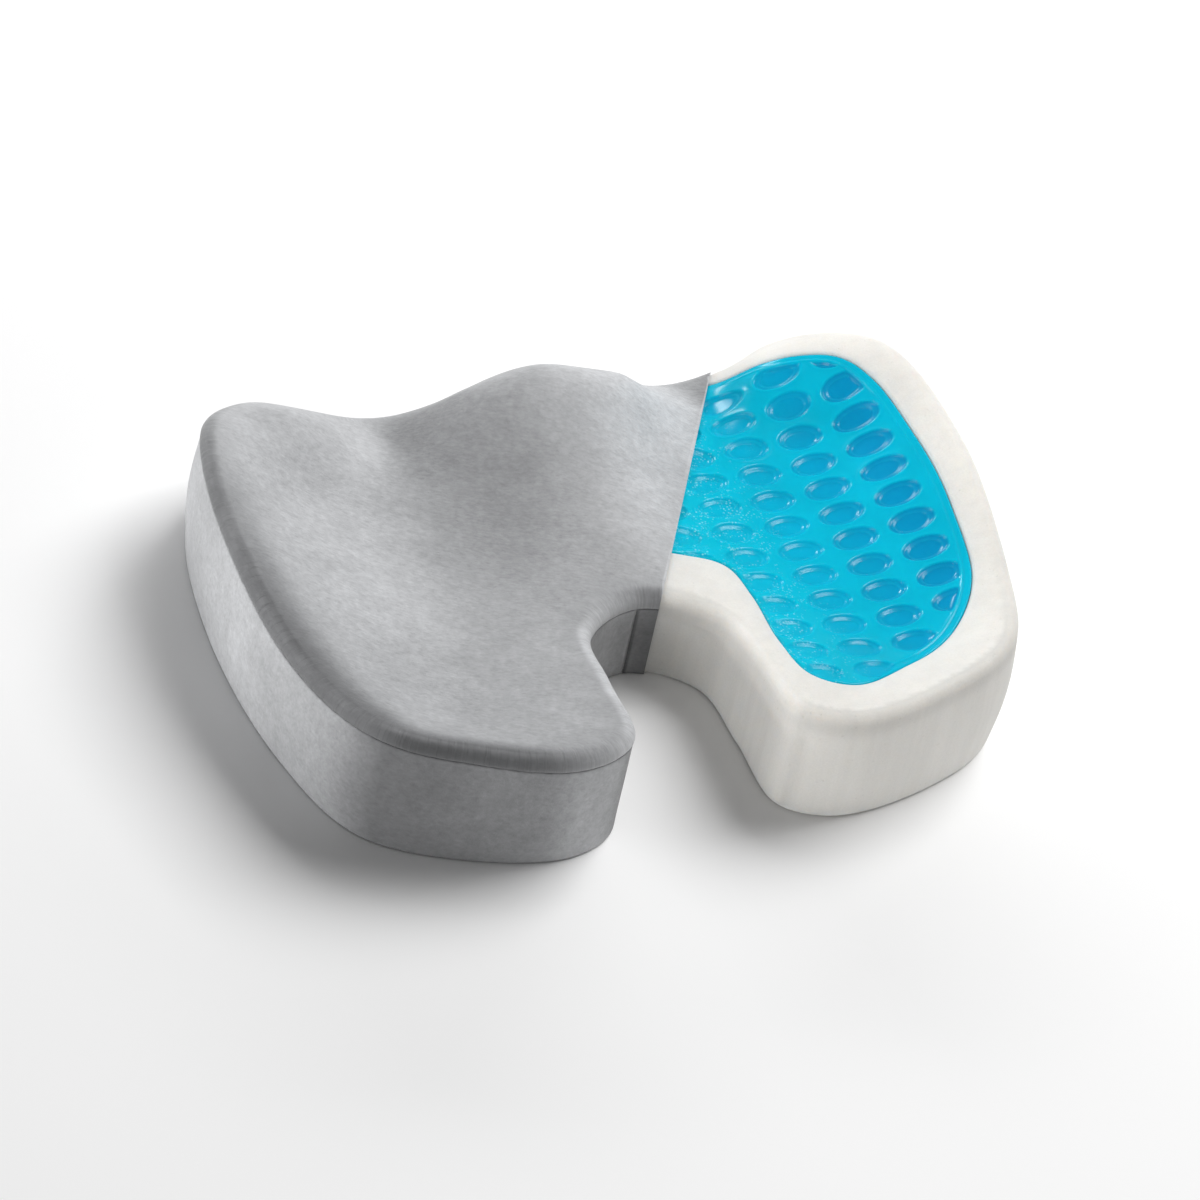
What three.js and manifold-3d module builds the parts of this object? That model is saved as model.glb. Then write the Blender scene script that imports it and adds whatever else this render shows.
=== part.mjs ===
// Coccyx seat cushion: a memory-foam block with a gel pad let into its top, in a zipped velour cover.
// The cover is cut away right of one upright plane, so that the foam and the gel pad can be seen.
// Millimetres. +Z is up, +Y points to the cushion's front (the thighs), -Y to its rear and its notch.
// The origin is under the middle of the cushion, on the surface that it rests on.
import * as THREE from "three";
import Module from "manifold-3d";

const wasm = await Module();
wasm.setup();

// ---------------------------------------------------------------- driving dimensions

// Half of the outside outline, from the front's middle round the +X side to the notch's middle:
// x, y at the top seam, y at the base, share of the wall's bulge.
const HALF_OUTLINE = [
  [0, 163, 164, 0],
  [50, 156, 164, 0],
  [98, 153, 164, 0],
  [130, 156.5, 164, 0],
  [158, 156.5, 159.5, 0.4],
  [184, 144, 145, 1],
  [208, 118, 118, 1],
  [221.5, 32, 32, 1],
  [212, -66, -66, 1],
  [187, -129, -129, 1],
  [138, -157, -157, 0.5],
  [77, -167, -167, 0.3],
  [47.5, -151, -151, 0],
  [42.5, -102, -102, 0],
  [36, -58, -58, 0],
  [0, -37.5, -37.5, 0],
];
const LOBE_OUTER = 10; // outline rows where a rear lobe's end begins and ends
const LOBE_INNER = 11;

// Heights of the covered top, before its edge is rounded: x, y, z. Mirrored in x.
const TOP_HEIGHTS = [
  [0, 163, 53], [50, 156, 42], [98, 152, 43], [150, 157, 54], [190, 145, 73],
  [0, 133, 83], [48, 129, 73], [96, 123, 49], [150, 131, 71], [194, 113, 82],
  [0, 87, 77], [55, 87, 62], [105, 82, 52], [160, 82, 61], [208, 77, 83],
  [0, 17, 64], [60, 17, 54], [120, 17, 53], [170, 17, 66], [216, 17, 84],
  [0, -41, 61], [70, -53, 59], [125, -53, 58], [165, -53, 64], [208, -58, 78],
  [45, -103, 70], [90, -108, 65], [140, -108, 63], [186, -119, 81],
  [54, -151, 76], [92, -155, 75], [138, -149, 80],
];
const EDGE_RADIUS = 9; // round between the top and the wall
const SEAM_DROP = 10.5; // from the unrounded top down to the seam
const BULGE = 3; // how far the wall swells at mid height
const LEAN_START = 24; // above this the front wall leans back to the seam
const BASE_ROUND = 3; // the foam's lower edge

const CLOTH = 1.2; // cover cloth
const GAP = 0.3; // between neighbouring pieces
const FOAM_DEPTH = CLOTH + GAP; // from the cover's outside to the foam

// The cover is cut upright along a line through x = CUT_X, y = 0, turned from +Y towards +X.
// It ends in the notch, at y = CUT_END.
const CUT_X = 34;
const CUT_ANGLE = THREE.MathUtils.degToRad(28.9);
const CUT_SLOPE = Math.tan(CUT_ANGLE);
const CUT_END = -48;

// Where the cover is cut away it no longer squeezes the foam, which stands fuller towards the front.
const SWELL = 5;
const SWELL_START = 4; // from the cut to where it begins
const SWELL_RAMP = 25; // and on to the full swell
const SWELL_REAR = -60; // y behind which there is none, and how far it takes to grow
const SWELL_GROWS = 160;
const SWELL_LOW = 50; // wall height at which it is full

// Gel pad: half outline, x and y, from the rear middle round the +X side to the front middle.
const GEL_HALF = [
  [0, 0], [40, -5], [61, -17], [66, -45], [64, -87], [69, -119], [92, -132], [128, -119],
  [162, -101], [189, -65], [198, -11], [198, 46], [191, 92], [176, 117], [146, 128],
  [116, 138], [60, 136], [0, 134],
];
const GEL_TOP = FOAM_DEPTH + GAP;
const GEL_THICK = 5.5;

// Zip, set into the straight lower part of the front wall.
const FRONT_Y = HALF_OUTLINE[0][2];
const ZIP = { left: -129, right: 109, middle: 15, slot: 11, tape: 8.5, tapeThick: 0.9 };
const ZIP_ROOM = { ends: 3, above: 1 }; // free space round the tapes in the foam
const TEETH = { width: 2.55, split: 0.3, high: 1.8, inset: 4, crown: 0.5, shoulder: 0.6 };
const STOP = { half: 1.4, proud: 0.2, wider: 0.3, away: 1.8 };
const SLIDER = { length: 10, width: 8.8, plate: 1.2, flange: 1, taper: 3, narrows: 2 };
const SLIDER_PLACE = { clear: 0.4, fromTeeth: 2 }; // off the teeth's crowns, and from their closed end
const BAIL = { length: 8.4, post: 1.2, bar: 1, width: 1.8, room: 1.6 };
const TAB = { length: 24, width: 7, thick: 1, holeWidth: 2.8, hole: 4.8, pin: 0.45 };
const TAB_SHAPE = { corner: 1, narrows: 0.8, gripHole: 1.3 };
const JOINED = 0.1; // how far solids run into each other where they are joined

// Bounds of the blocks that cut the pieces.
const FAR = 400;
const HIGH = 120; // above everything
const LOW = -10; // below everything
const FRONT_ZONE = 60; // the zip's wall is in front of this y

// Steps of the faceted surfaces.
const ALONG = 56; // round the outer side, and round the notch side
const ACROSS = 10; // from the outer side to the notch side
const SPLINE_STEPS = 12;
const ROUND_STEPS = 3;
const GEL_STEPS = 4;

// ---------------------------------------------------------------- outline and top surface

const smooth = (t) => {
  const c = THREE.MathUtils.clamp(t, 0, 1);
  return c * c * (3 - 2 * c);
};

// Rows mirrored in x and joined to a closed loop. Rows on x = 0 are used once.
function mirrored(half) {
  const left = half.filter((row) => row[0] > 0).reverse();
  return [...half, ...left.map(([x, ...rest]) => [-x, ...rest])];
}

// A closed centripetal Catmull-Rom curve through rows of numbers, of which x and y come first.
function closedSpline(rows, steps) {
  const n = rows.length;
  const knot = (a, b) => Math.sqrt(Math.hypot(a[0] - b[0], a[1] - b[1]));
  return rows.flatMap((p1, i) => {
    const p0 = rows[(i + n - 1) % n];
    const p2 = rows[(i + 1) % n];
    const p3 = rows[(i + 2) % n];
    const [a, b, c] = [knot(p0, p1), knot(p1, p2), knot(p2, p3)];
    return Array.from({ length: steps }, (_, k) => {
      const t = k / steps;
      return p1.map((v, j) => {
        const m1 = b * ((v - p0[j]) / a - (p2[j] - p0[j]) / (a + b) + (p2[j] - v) / b);
        const m2 = b * ((p2[j] - v) / b - (p3[j] - v) / (b + c) + (p3[j] - p2[j]) / c);
        const bend = (2 * v - 2 * p2[j] + m1 + m2) * t ** 3;
        return bend + (3 * p2[j] - 3 * v - 2 * m1 - m2) * t ** 2 + m1 * t + v;
      });
    });
  });
}

// Points evenly spaced along an open run of rows, the last one left out.
function evenly(rows, count) {
  const far = [0];
  for (let i = 1; i < rows.length; i++) {
    const step = Math.hypot(rows[i][0] - rows[i - 1][0], rows[i][1] - rows[i - 1][1]);
    far.push(far[i - 1] + step);
  }
  return Array.from({ length: count }, (_, k) => {
    const at = (far[far.length - 1] * k) / count;
    let i = 0;
    while (far[i + 1] < at) i++;
    const t = (at - far[i]) / (far[i + 1] - far[i]);
    return rows[i].map((v, j) => v + (rows[i + 1][j] - v) * t);
  });
}

// Inward unit normals of a closed clockwise loop.
function inwardNormals(loop) {
  return loop.map((_, i) => {
    const a = loop[(i + loop.length - 1) % loop.length];
    const b = loop[(i + 1) % loop.length];
    const length = Math.hypot(b[0] - a[0], b[1] - a[1]);
    return [(b[1] - a[1]) / length, -(b[0] - a[0]) / length];
  });
}

// The stations round the cushion: outer side, +X lobe's end, notch side, -X lobe's end.
function stationLoop() {
  const rows = mirrored(HALF_OUTLINE);
  const fine = closedSpline(rows, SPLINE_STEPS);
  const at = (row) => ((row + rows.length) % rows.length) * SPLINE_STEPS;
  const run = (from, to) => {
    const points = [fine[at(from)]];
    for (let i = at(from); i !== at(to); ) {
      i = (i + 1) % fine.length;
      points.push(fine[i]);
    }
    return points;
  };
  const sides = [
    evenly(run(-LOBE_OUTER, LOBE_OUTER), ALONG),
    evenly(run(LOBE_OUTER, LOBE_INNER), ACROSS),
    evenly(run(LOBE_INNER, -LOBE_INNER), ALONG),
    evenly(run(-LOBE_INNER, -LOBE_OUTER), ACROSS),
  ];
  const loop = sides.flat();
  const normals = inwardNormals(loop);
  return loop.map(([x, y, yBase, bulge], i) => ({ x, y, yBase, bulge, inward: normals[i] }));
}

// Solves a small dense system by elimination, in place.
function solve(rows, values) {
  const n = values.length;
  for (let c = 0; c < n; c++) {
    let pivot = c;
    for (let r = c + 1; r < n; r++) if (Math.abs(rows[r][c]) > Math.abs(rows[pivot][c])) pivot = r;
    [rows[c], rows[pivot]] = [rows[pivot], rows[c]];
    [values[c], values[pivot]] = [values[pivot], values[c]];
    for (let r = c + 1; r < n; r++) {
      const f = rows[r][c] / rows[c][c];
      for (let k = c; k < n; k++) rows[r][k] -= f * rows[c][k];
      values[r] -= f * values[c];
    }
  }
  for (let c = n - 1; c >= 0; c--) {
    for (let k = c + 1; k < n; k++) values[c] -= rows[c][k] * values[k];
    values[c] /= rows[c][c];
  }
  return values;
}

// The smoothest surface (a thin plate) through the top heights.
function thinPlate(points) {
  const unit = 100; // keeps the system well scaled
  const bend = (dx, dy) => {
    const r2 = (dx * dx + dy * dy) / unit ** 2;
    return r2 > 0 ? (r2 * Math.log(r2)) / 2 : 0;
  };
  const flat = (x, y) => [1, x / unit, y / unit];
  const n = points.length;
  const rows = points.map(([x, y]) => [...points.map((p) => bend(x - p[0], y - p[1])), ...flat(x, y)]);
  [0, 1, 2].forEach((k) => rows.push([...points.map((p) => flat(p[0], p[1])[k]), 0, 0, 0]));
  const weights = solve(rows, [...points.map((p) => p[2]), 0, 0, 0]);
  return (x, y) => {
    const plane = flat(x, y).reduce((sum, v, k) => sum + v * weights[n + k], 0);
    return points.reduce((sum, p, i) => sum + weights[i] * bend(x - p[0], y - p[1]), plane);
  };
}

const stations = stationLoop();
const topHeight = thinPlate(mirrored(TOP_HEIGHTS));
const rimHeight = (s) => topHeight(s.x, s.y) - EDGE_RADIUS;
const seamHeight = (s) => topHeight(s.x, s.y) - SEAM_DROP;
const bandTop = (s) => seamHeight(s) - GAP;

// How much fuller the bare foam stands at a place in the plan.
function swell(x, y) {
  const fromCut = (x - CUT_X) * Math.cos(CUT_ANGLE) - y * Math.sin(CUT_ANGLE);
  return SWELL * smooth((fromCut - SWELL_START) / SWELL_RAMP) * smooth((y - SWELL_REAR) / SWELL_GROWS);
}

// The top of the foam and of the gel pad, before their depth under the cover is taken off.
const innerTop = (x, y) => topHeight(x, y) + swell(x, y);

// A point of the wall at height z, depth below the cover's outside.
function wallPoint(s, z, depth) {
  const lean = smooth((z - LEAN_START) / (seamHeight(s) - LEAN_START));
  const bulge = BULGE * s.bulge * Math.sin(Math.PI * THREE.MathUtils.clamp(z / rimHeight(s), 0, 1));
  const inset = depth - bulge;
  const y = THREE.MathUtils.lerp(s.yBase, s.y, lean);
  return [s.x + s.inward[0] * inset, y + s.inward[1] * inset, z];
}

// A point of the rounded edge: turn 0 on the wall, 1 on the top.
function edgePoint(s, turn, depth) {
  const [out, rise] = [Math.cos((turn * Math.PI) / 2), Math.sin((turn * Math.PI) / 2)];
  const at = (inset) => [s.x + s.inward[0] * inset, s.y + s.inward[1] * inset];
  const outside = EDGE_RADIUS * (1 - out);
  const z = topHeight(...at(outside)) - EDGE_RADIUS * (1 - rise) - depth * rise;
  return [...at(outside + depth * out), z];
}

// ---------------------------------------------------------------- closed skins and solids

// Collects rings of points and the faces between them. A ring runs clockwise seen from above.
class Skin {
  points = [];
  faces = [];

  ring(points) {
    const start = this.points.length;
    this.points.push(...points);
    return points.map((_, i) => start + i);
  }

  // Faces from a lower ring to an upper one, facing out of the loop or into it.
  wall(lower, upper, out = true) {
    lower.forEach((a, i) => {
      const j = (i + 1) % lower.length;
      const pair = [[a, upper[i], lower[j]], [upper[i], upper[j], lower[j]]];
      this.faces.push(...(out ? pair : pair.map((face) => face.reverse())));
    });
  }

  // Closes a flat ring, facing down or up.
  flatCap(ring, up) {
    const outline = ring.map((i) => new THREE.Vector2(...this.points[i]));
    THREE.ShapeUtils.triangulateShape(outline, []).forEach((tri) => {
      const anticlockwise = THREE.ShapeUtils.area(tri.map((k) => outline[k])) > 0;
      const [a, b, c] = tri.map((k) => ring[k]);
      this.faces.push(anticlockwise === up ? [a, b, c] : [a, c, b]);
    });
  }

  // Fills a ring of stations with a grid that runs from the outer side to the notch side.
  topPatch(ring, height, up) {
    const outer = (u) => ring[u];
    const inner = (u) => ring[(2 * ALONG + ACROSS - u) % ring.length];
    const right = (v) => ring[ALONG + v];
    const left = (v) => ring[(ring.length - v) % ring.length];
    const grid = [];
    for (let u = 0; u <= ALONG; u++) {
      const column = [];
      for (let v = 0; v <= ACROSS; v++) {
        if (v === 0) column.push(outer(u));
        else if (v === ACROSS) column.push(inner(u));
        else if (u === 0) column.push(left(v));
        else if (u === ALONG) column.push(right(v));
        else {
          const sides = [outer(u), inner(u), left(v), right(v)];
          column.push(this.blendPoint(u / ALONG, v / ACROSS, sides, ring, height));
        }
      }
      grid.push(column);
    }
    for (let u = 0; u < ALONG; u++) {
      for (let v = 0; v < ACROSS; v++) {
        const [a, b, c, d] = [grid[u][v], grid[u + 1][v], grid[u + 1][v + 1], grid[u][v + 1]];
        this.faces.push(...(up ? [[a, c, b], [a, d, c]] : [[a, b, c], [a, c, d]]));
      }
    }
  }

  // A point inside the patch, blended from its four sides and corners.
  blendPoint(u, v, sides, ring, height) {
    const corners = [0, ALONG, ALONG + ACROSS, 2 * ALONG + ACROSS].map((k) => this.points[ring[k]]);
    const [x, y] = [0, 1].map((k) => {
      const [outer, inner, left, right] = sides.map((index) => this.points[index][k]);
      const outerLine = (1 - u) * corners[0][k] + u * corners[1][k];
      const innerLine = (1 - u) * corners[3][k] + u * corners[2][k];
      const across = (1 - v) * (outer - outerLine) + v * (inner - innerLine);
      return across + (1 - u) * left + u * right;
    });
    return this.ring([[x, y, height(x, y)]])[0];
  }

  solid() {
    return new wasm.Manifold(
      new wasm.Mesh({
        numProp: 3,
        vertProperties: new Float32Array(this.points.flat()),
        triVerts: new Uint32Array(this.faces.flat()),
      }),
    );
  }
}

// Rings from the seam over the rounded edge, one for each step, at each station's depth.
function edgeRings(skin, depthAt) {
  const turns = Array.from({ length: ROUND_STEPS + 1 }, (_, k) => k / ROUND_STEPS);
  return turns.map((turn) => skin.ring(stations.map((s) => edgePoint(s, turn, depthAt(s)))));
}

function joinRings(skin, rings, out = true) {
  rings.slice(1).forEach((ring, i) => skin.wall(rings[i], ring, out));
}

// Wall heights: the straight lower part, then the part that may lean, up to a given top.
function wallLevels(bottom, topOf) {
  const thirds = [1 / 3, 2 / 3, 1];
  const low = thirds.map((f) => () => LEAN_START * f);
  const high = thirds.map((f) => (s) => THREE.MathUtils.lerp(LEAN_START, topOf(s), f));
  return [() => bottom, ...low, ...high];
}

// The slab between two depths under the top, inside the rounded edge.
function topSlab(from, to) {
  const plan = stations.map((s) => edgePoint(s, 1, 0));
  const skin = new Skin();
  const [low, high] = [to, from].map((d) => skin.ring(plan.map(([x, y]) => [x, y, innerTop(x, y) - d])));
  skin.wall(low, high);
  skin.topPatch(high, (x, y) => innerTop(x, y) - from, true);
  skin.topPatch(low, (x, y) => innerTop(x, y) - to, false);
  return skin.solid();
}

// An upright prism on a closed clockwise outline.
function prism(outline, bottom, top) {
  const skin = new Skin();
  const [low, high] = [bottom, top].map((z) => skin.ring(outline.map(([x, y]) => [x, y, z])));
  skin.wall(low, high);
  skin.flatCap(low, false);
  skin.flatCap(high, true);
  return skin.solid();
}

const box = (x, y, z) => prism([[x[0], y[0]], [x[0], y[1]], [x[1], y[1]], [x[1], y[0]]], z[0], z[1]);

// Everything on one side of the cut: side is 1 for the bare side (+X), -1 for the covered side.
function besideCut(side, bottom, top) {
  const cutX = (y) => CUT_X + y * CUT_SLOPE;
  const line = [[cutX(CUT_END), -FAR], [cutX(CUT_END), CUT_END], [cutX(FAR), FAR]];
  const edge = side * 2 * FAR;
  const loop = [...line, [edge, FAR], [edge, -FAR]];
  return prism(side > 0 ? loop : loop.reverse(), bottom, top);
}

// ---------------------------------------------------------------- the soft pieces

const gelLoop = closedSpline(mirrored(GEL_HALF).reverse(), GEL_STEPS);

function grown(loop, by) {
  const normals = inwardNormals(loop);
  return loop.map(([x, y], i) => [x - normals[i][0] * by, y - normals[i][1] * by]);
}

// Foam block: it stands on the base cloth, and on the surface itself where the cover is cut away.
function foamCore() {
  const skin = new Skin();
  const foot = skin.ring(stations.map((s) => wallPoint(s, 0, FOAM_DEPTH + BASE_ROUND)));
  const levels = [...wallLevels(BASE_ROUND, bandTop), seamHeight];
  const depthAt = (s, z) => FOAM_DEPTH - swell(s.x, s.y) * smooth(z / SWELL_LOW);
  const walls = levels.map((level) =>
    skin.ring(stations.map((s) => wallPoint(s, level(s), depthAt(s, level(s))))),
  );
  const edge = edgeRings(skin, (s) => FOAM_DEPTH - swell(s.x, s.y));
  joinRings(skin, [foot, ...walls, ...edge]);
  skin.flatCap(foot, false);
  skin.topPatch(edge.at(-1), (x, y) => innerTop(x, y) - FOAM_DEPTH, true);
  const recess = topSlab(-GAP, GEL_TOP + GEL_THICK + GAP).intersect(prism(grown(gelLoop, GAP), 0, HIGH));
  const zipRoom = box(
    [ZIP.left - ZIP_ROOM.ends, ZIP.right + ZIP_ROOM.ends],
    [FRONT_Y - FOAM_DEPTH - ZIP.tapeThick - GAP, FAR],
    [ZIP.middle - ZIP.tape - ZIP_ROOM.above, ZIP.middle + ZIP.tape + ZIP_ROOM.above],
  );
  const underCover = besideCut(-1, LOW, FOAM_DEPTH);
  return skin.solid().subtract(recess).subtract(zipRoom).subtract(underCover);
}

// The pad follows the seat's shape at an even thickness.
const gelPad = () => topSlab(GEL_TOP, GEL_TOP + GEL_THICK).intersect(prism(gelLoop, 0, HIGH));

const cutAway = besideCut(1, LOW, HIGH);

// Top cloth: over the top and the rounded edge, down to the seam.
function coverTop() {
  const skin = new Skin();
  const seamRing = (depth) => skin.ring(stations.map((s) => wallPoint(s, seamHeight(s), depth)));
  const outside = [seamRing(0), ...edgeRings(skin, () => 0)];
  const inside = [seamRing(CLOTH), ...edgeRings(skin, () => CLOTH)];
  joinRings(skin, outside);
  joinRings(skin, inside, false);
  skin.wall(inside[0], outside[0]);
  skin.topPatch(outside.at(-1), (x, y) => topHeight(x, y), true);
  skin.topPatch(inside.at(-1), (x, y) => topHeight(x, y) - CLOTH, false);
  return skin.solid().subtract(cutAway);
}

// Side cloth all the way round, before it is divided at its upright seams.
function wholeBand() {
  const skin = new Skin();
  const levels = wallLevels(FOAM_DEPTH, bandTop);
  const rings = (depth) =>
    levels.map((level) => skin.ring(stations.map((s) => wallPoint(s, level(s), depth))));
  const [outside, inside] = [rings(0), rings(CLOTH)];
  joinRings(skin, outside);
  joinRings(skin, inside, false);
  skin.wall(outside.at(-1), inside.at(-1));
  skin.wall(inside[0], outside[0]);
  return skin.solid().subtract(cutAway);
}

const band = wholeBand();
const frontZone = (z) => box([ZIP.left, FAR], [FRONT_ZONE, FAR], z);

function bandLeft() {
  const notchRight = box([-GAP / 2, FAR], [-FAR, FRONT_ZONE], [LOW, HIGH]);
  return band.subtract(notchRight).subtract(box([ZIP.left - GAP, FAR], [FRONT_ZONE, FAR], [LOW, HIGH]));
}

const bandRight = () => band.intersect(box([GAP / 2, FAR], [-FAR, FRONT_ZONE], [LOW, HIGH]));
const zipStripUpper = () => band.intersect(frontZone([ZIP.middle + ZIP.slot / 2, HIGH]));
const zipStripLower = () => band.intersect(frontZone([LOW, ZIP.middle - ZIP.slot / 2]));

function coverBase() {
  return prism(stations.map((s) => wallPoint(s, 0, GAP)), 0, CLOTH).subtract(cutAway);
}

// ---------------------------------------------------------------- the zip

const TAPE_FACE = FRONT_Y - FOAM_DEPTH; // outer face of the tapes
const TEETH_FRONT = TAPE_FACE + GAP + TEETH.high;
const PLATE_BACK = TEETH_FRONT + SLIDER_PLACE.clear;
const PLATE_FRONT = PLATE_BACK + SLIDER.plate;
const PIN_Y = PLATE_FRONT + BAIL.room / 2;
const SLIDER_X = ZIP.left + TEETH.inset + SLIDER_PLACE.fromTeeth + SLIDER.length / 2;

// A strip on one side of the zip's middle line; side is 1 above it and -1 below it.
function besideMiddle(side, x, y, from, to) {
  const z = [ZIP.middle + side * from, ZIP.middle + side * to].sort((a, b) => a - b);
  return box(x, y, z);
}

function tape(side) {
  const y = [TAPE_FACE - ZIP.tapeThick, TAPE_FACE];
  return besideMiddle(side, [ZIP.left, ZIP.right], y, TEETH.split / 2, ZIP.tape);
}

// One row of closed teeth, as a rail with a narrower crown.
function teeth(side) {
  const x = [ZIP.left + TEETH.inset, ZIP.right - TEETH.inset];
  const back = TAPE_FACE + GAP;
  const outer = TEETH.split / 2 + TEETH.width;
  const step = TEETH_FRONT - TEETH.crown;
  const rail = besideMiddle(side, x, [back, step], TEETH.split / 2, outer);
  const crownOuter = outer - TEETH.shoulder;
  const crown = besideMiddle(side, x, [step - JOINED, TEETH_FRONT], TEETH.split / 2, crownOuter);
  return rail.add(crown);
}

function stop(x) {
  const half = TEETH.split / 2 + TEETH.width + STOP.wider;
  const z = [ZIP.middle - half, ZIP.middle + half];
  return box([x - STOP.half, x + STOP.half], [TAPE_FACE + GAP, TEETH_FRONT + STOP.proud], z);
}

// The slider's visible half: a plate over the teeth, two flanges beside them and the bail.
function slider() {
  const halfLength = SLIDER.length / 2;
  const halfWidth = SLIDER.width / 2;
  const nose = halfWidth - SLIDER.narrows;
  // The plate narrows to the closing end.
  const x = (dx) => SLIDER_X + dx;
  const outline = [
    [x(-halfLength), ZIP.middle - nose],
    [x(-halfLength), ZIP.middle + nose],
    [x(-halfLength + SLIDER.taper), ZIP.middle + halfWidth],
    [x(halfLength), ZIP.middle + halfWidth],
    [x(halfLength), ZIP.middle - halfWidth],
    [x(-halfLength + SLIDER.taper), ZIP.middle - halfWidth],
  ];
  const plate = standing(outline, PLATE_BACK, PLATE_FRONT);
  const flange = (side) =>
    besideMiddle(
      side,
      [x(-halfLength + SLIDER.taper), x(halfLength)],
      [TAPE_FACE + 2 * GAP, PLATE_FRONT],
      halfWidth - SLIDER.flange,
      halfWidth,
    );
  const bailZ = [ZIP.middle - BAIL.width / 2, ZIP.middle + BAIL.width / 2];
  const barBack = PLATE_FRONT + BAIL.room;
  const half = BAIL.length / 2;
  const bar = box([x(-half), x(half)], [barBack, barBack + BAIL.bar], bailZ);
  const post = (from, to) => box([x(from), x(to)], [PLATE_FRONT - JOINED, barBack + JOINED], bailZ);
  const posts = post(-half, -half + BAIL.post).add(post(half - BAIL.post, half));
  return plate.add(flange(1)).add(flange(-1)).add(bar).add(posts);
}

// A plate standing in the wall: its outline is given in x and z, its thickness runs along y.
function standing(outline, back, front) {
  const shape = new THREE.Shape(outline.map(([x, z]) => new THREE.Vector2(x, z)));
  return extruded(shape, back, front);
}

function extruded(shape, back, front) {
  const geometry = new THREE.ExtrudeGeometry(shape, { depth: front - back, bevelEnabled: false });
  geometry.rotateX(Math.PI / 2).translate(0, front, 0);
  return solidOf(geometry);
}

// Pull tab: a rounded plate with an eye round the bail, and the pin that turns under the bail.
function pullTab() {
  const half = TAB.width / 2;
  const tip = half - TAB_SHAPE.narrows;
  const left = SLIDER_X - TAB.pin;
  const tipX = SLIDER_X + TAB.length - half;
  const shape = new THREE.Shape();
  shape.moveTo(left, ZIP.middle - half + TAB_SHAPE.corner);
  shape.lineTo(left, ZIP.middle + half - TAB_SHAPE.corner);
  shape.lineTo(left + TAB_SHAPE.corner, ZIP.middle + half);
  shape.lineTo(tipX, ZIP.middle + tip);
  shape.absarc(tipX, ZIP.middle, tip, Math.PI / 2, -Math.PI / 2, true);
  shape.lineTo(left + TAB_SHAPE.corner, ZIP.middle - half);
  const eye = new THREE.Path();
  eye.moveTo(SLIDER_X + TAB.pin, ZIP.middle - TAB.holeWidth / 2);
  eye.lineTo(SLIDER_X + TAB.hole, ZIP.middle - TAB.holeWidth / 2);
  eye.lineTo(SLIDER_X + TAB.hole, ZIP.middle + TAB.holeWidth / 2);
  eye.lineTo(SLIDER_X + TAB.pin, ZIP.middle + TAB.holeWidth / 2);
  const grip = new THREE.Path();
  grip.absarc(tipX, ZIP.middle, TAB_SHAPE.gripHole, 0, 2 * Math.PI, false);
  shape.holes.push(eye, grip);
  return extruded(shape, PIN_Y - TAB.thick / 2, PIN_Y + TAB.thick / 2);
}

// ---------------------------------------------------------------- meshes

function solidOf(geometry) {
  const seen = new Map();
  const points = [];
  const source = geometry.getAttribute("position");
  const triVerts = Uint32Array.from({ length: source.count }, (_, i) => {
    const p = [source.getX(i), source.getY(i), source.getZ(i)];
    const key = p.map((v) => v.toFixed(4)).join();
    if (!seen.has(key)) {
      seen.set(key, seen.size);
      points.push(...p);
    }
    return seen.get(key);
  });
  return new wasm.Manifold(
    new wasm.Mesh({ numProp: 3, vertProperties: new Float32Array(points), triVerts }),
  );
}

function geometryOf(solid) {
  const mesh = solid.getMesh();
  const geometry = new THREE.BufferGeometry();
  const points = new Float32Array(mesh.numVert * 3);
  for (let i = 0; i < mesh.numVert; i++) {
    points.set(mesh.vertProperties.subarray(i * mesh.numProp, i * mesh.numProp + 3), i * 3);
  }
  geometry.setAttribute("position", new THREE.BufferAttribute(points, 3));
  geometry.setIndex(new THREE.BufferAttribute(mesh.triVerts, 1));
  geometry.computeVertexNormals();
  return geometry;
}

const finish = (color, roughness, metalness = 0) => ({ color, roughness, metalness });
const FOAM = finish(0xe9e8e3, 0.9);
const GEL = finish(0x08a9d6, 0.15);
const VELOUR = finish(0xaaabae, 0.95);
const BASE_CLOTH = finish(0x4a4b4e, 0.85);
const ZIP_TAPE = finish(0x8d8e91, 0.9);
const NYLON = finish(0x7c7d80, 0.45);
const METAL = finish(0xb4b6ba, 0.3, 0.9);

const pieces = {
  foam_core: [foamCore(), FOAM],
  gel_pad: [gelPad(), GEL],
  cover_top_panel: [coverTop(), VELOUR],
  cover_band_left: [bandLeft(), VELOUR],
  cover_band_right: [bandRight(), VELOUR],
  cover_base_panel: [coverBase(), BASE_CLOTH],
  zip_strip_upper: [zipStripUpper(), VELOUR],
  zip_strip_lower: [zipStripLower(), VELOUR],
  zip_tape_upper: [tape(1), ZIP_TAPE],
  zip_tape_lower: [tape(-1), ZIP_TAPE],
  zip_teeth_upper: [teeth(1), NYLON],
  zip_teeth_lower: [teeth(-1), NYLON],
  zip_stop_closed_end: [stop(ZIP.left + TEETH.inset - STOP.away), METAL],
  zip_stop_open_end: [stop(ZIP.right - TEETH.inset + STOP.away), METAL],
  zip_slider: [slider(), METAL],
  zip_pull_tab: [pullTab(), METAL],
};

const cushion = new THREE.Group();
for (const [name, [solid, look]] of Object.entries(pieces)) {
  const mesh = new THREE.Mesh(geometryOf(solid), new THREE.MeshStandardMaterial(look));
  mesh.name = name;
  cushion.add(mesh);
}

export default cushion;
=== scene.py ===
import math

import bmesh
import bpy
import numpy as np
from mathutils import Matrix, Vector, noise
from mathutils.geometry import delaunay_2d_cdt


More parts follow.
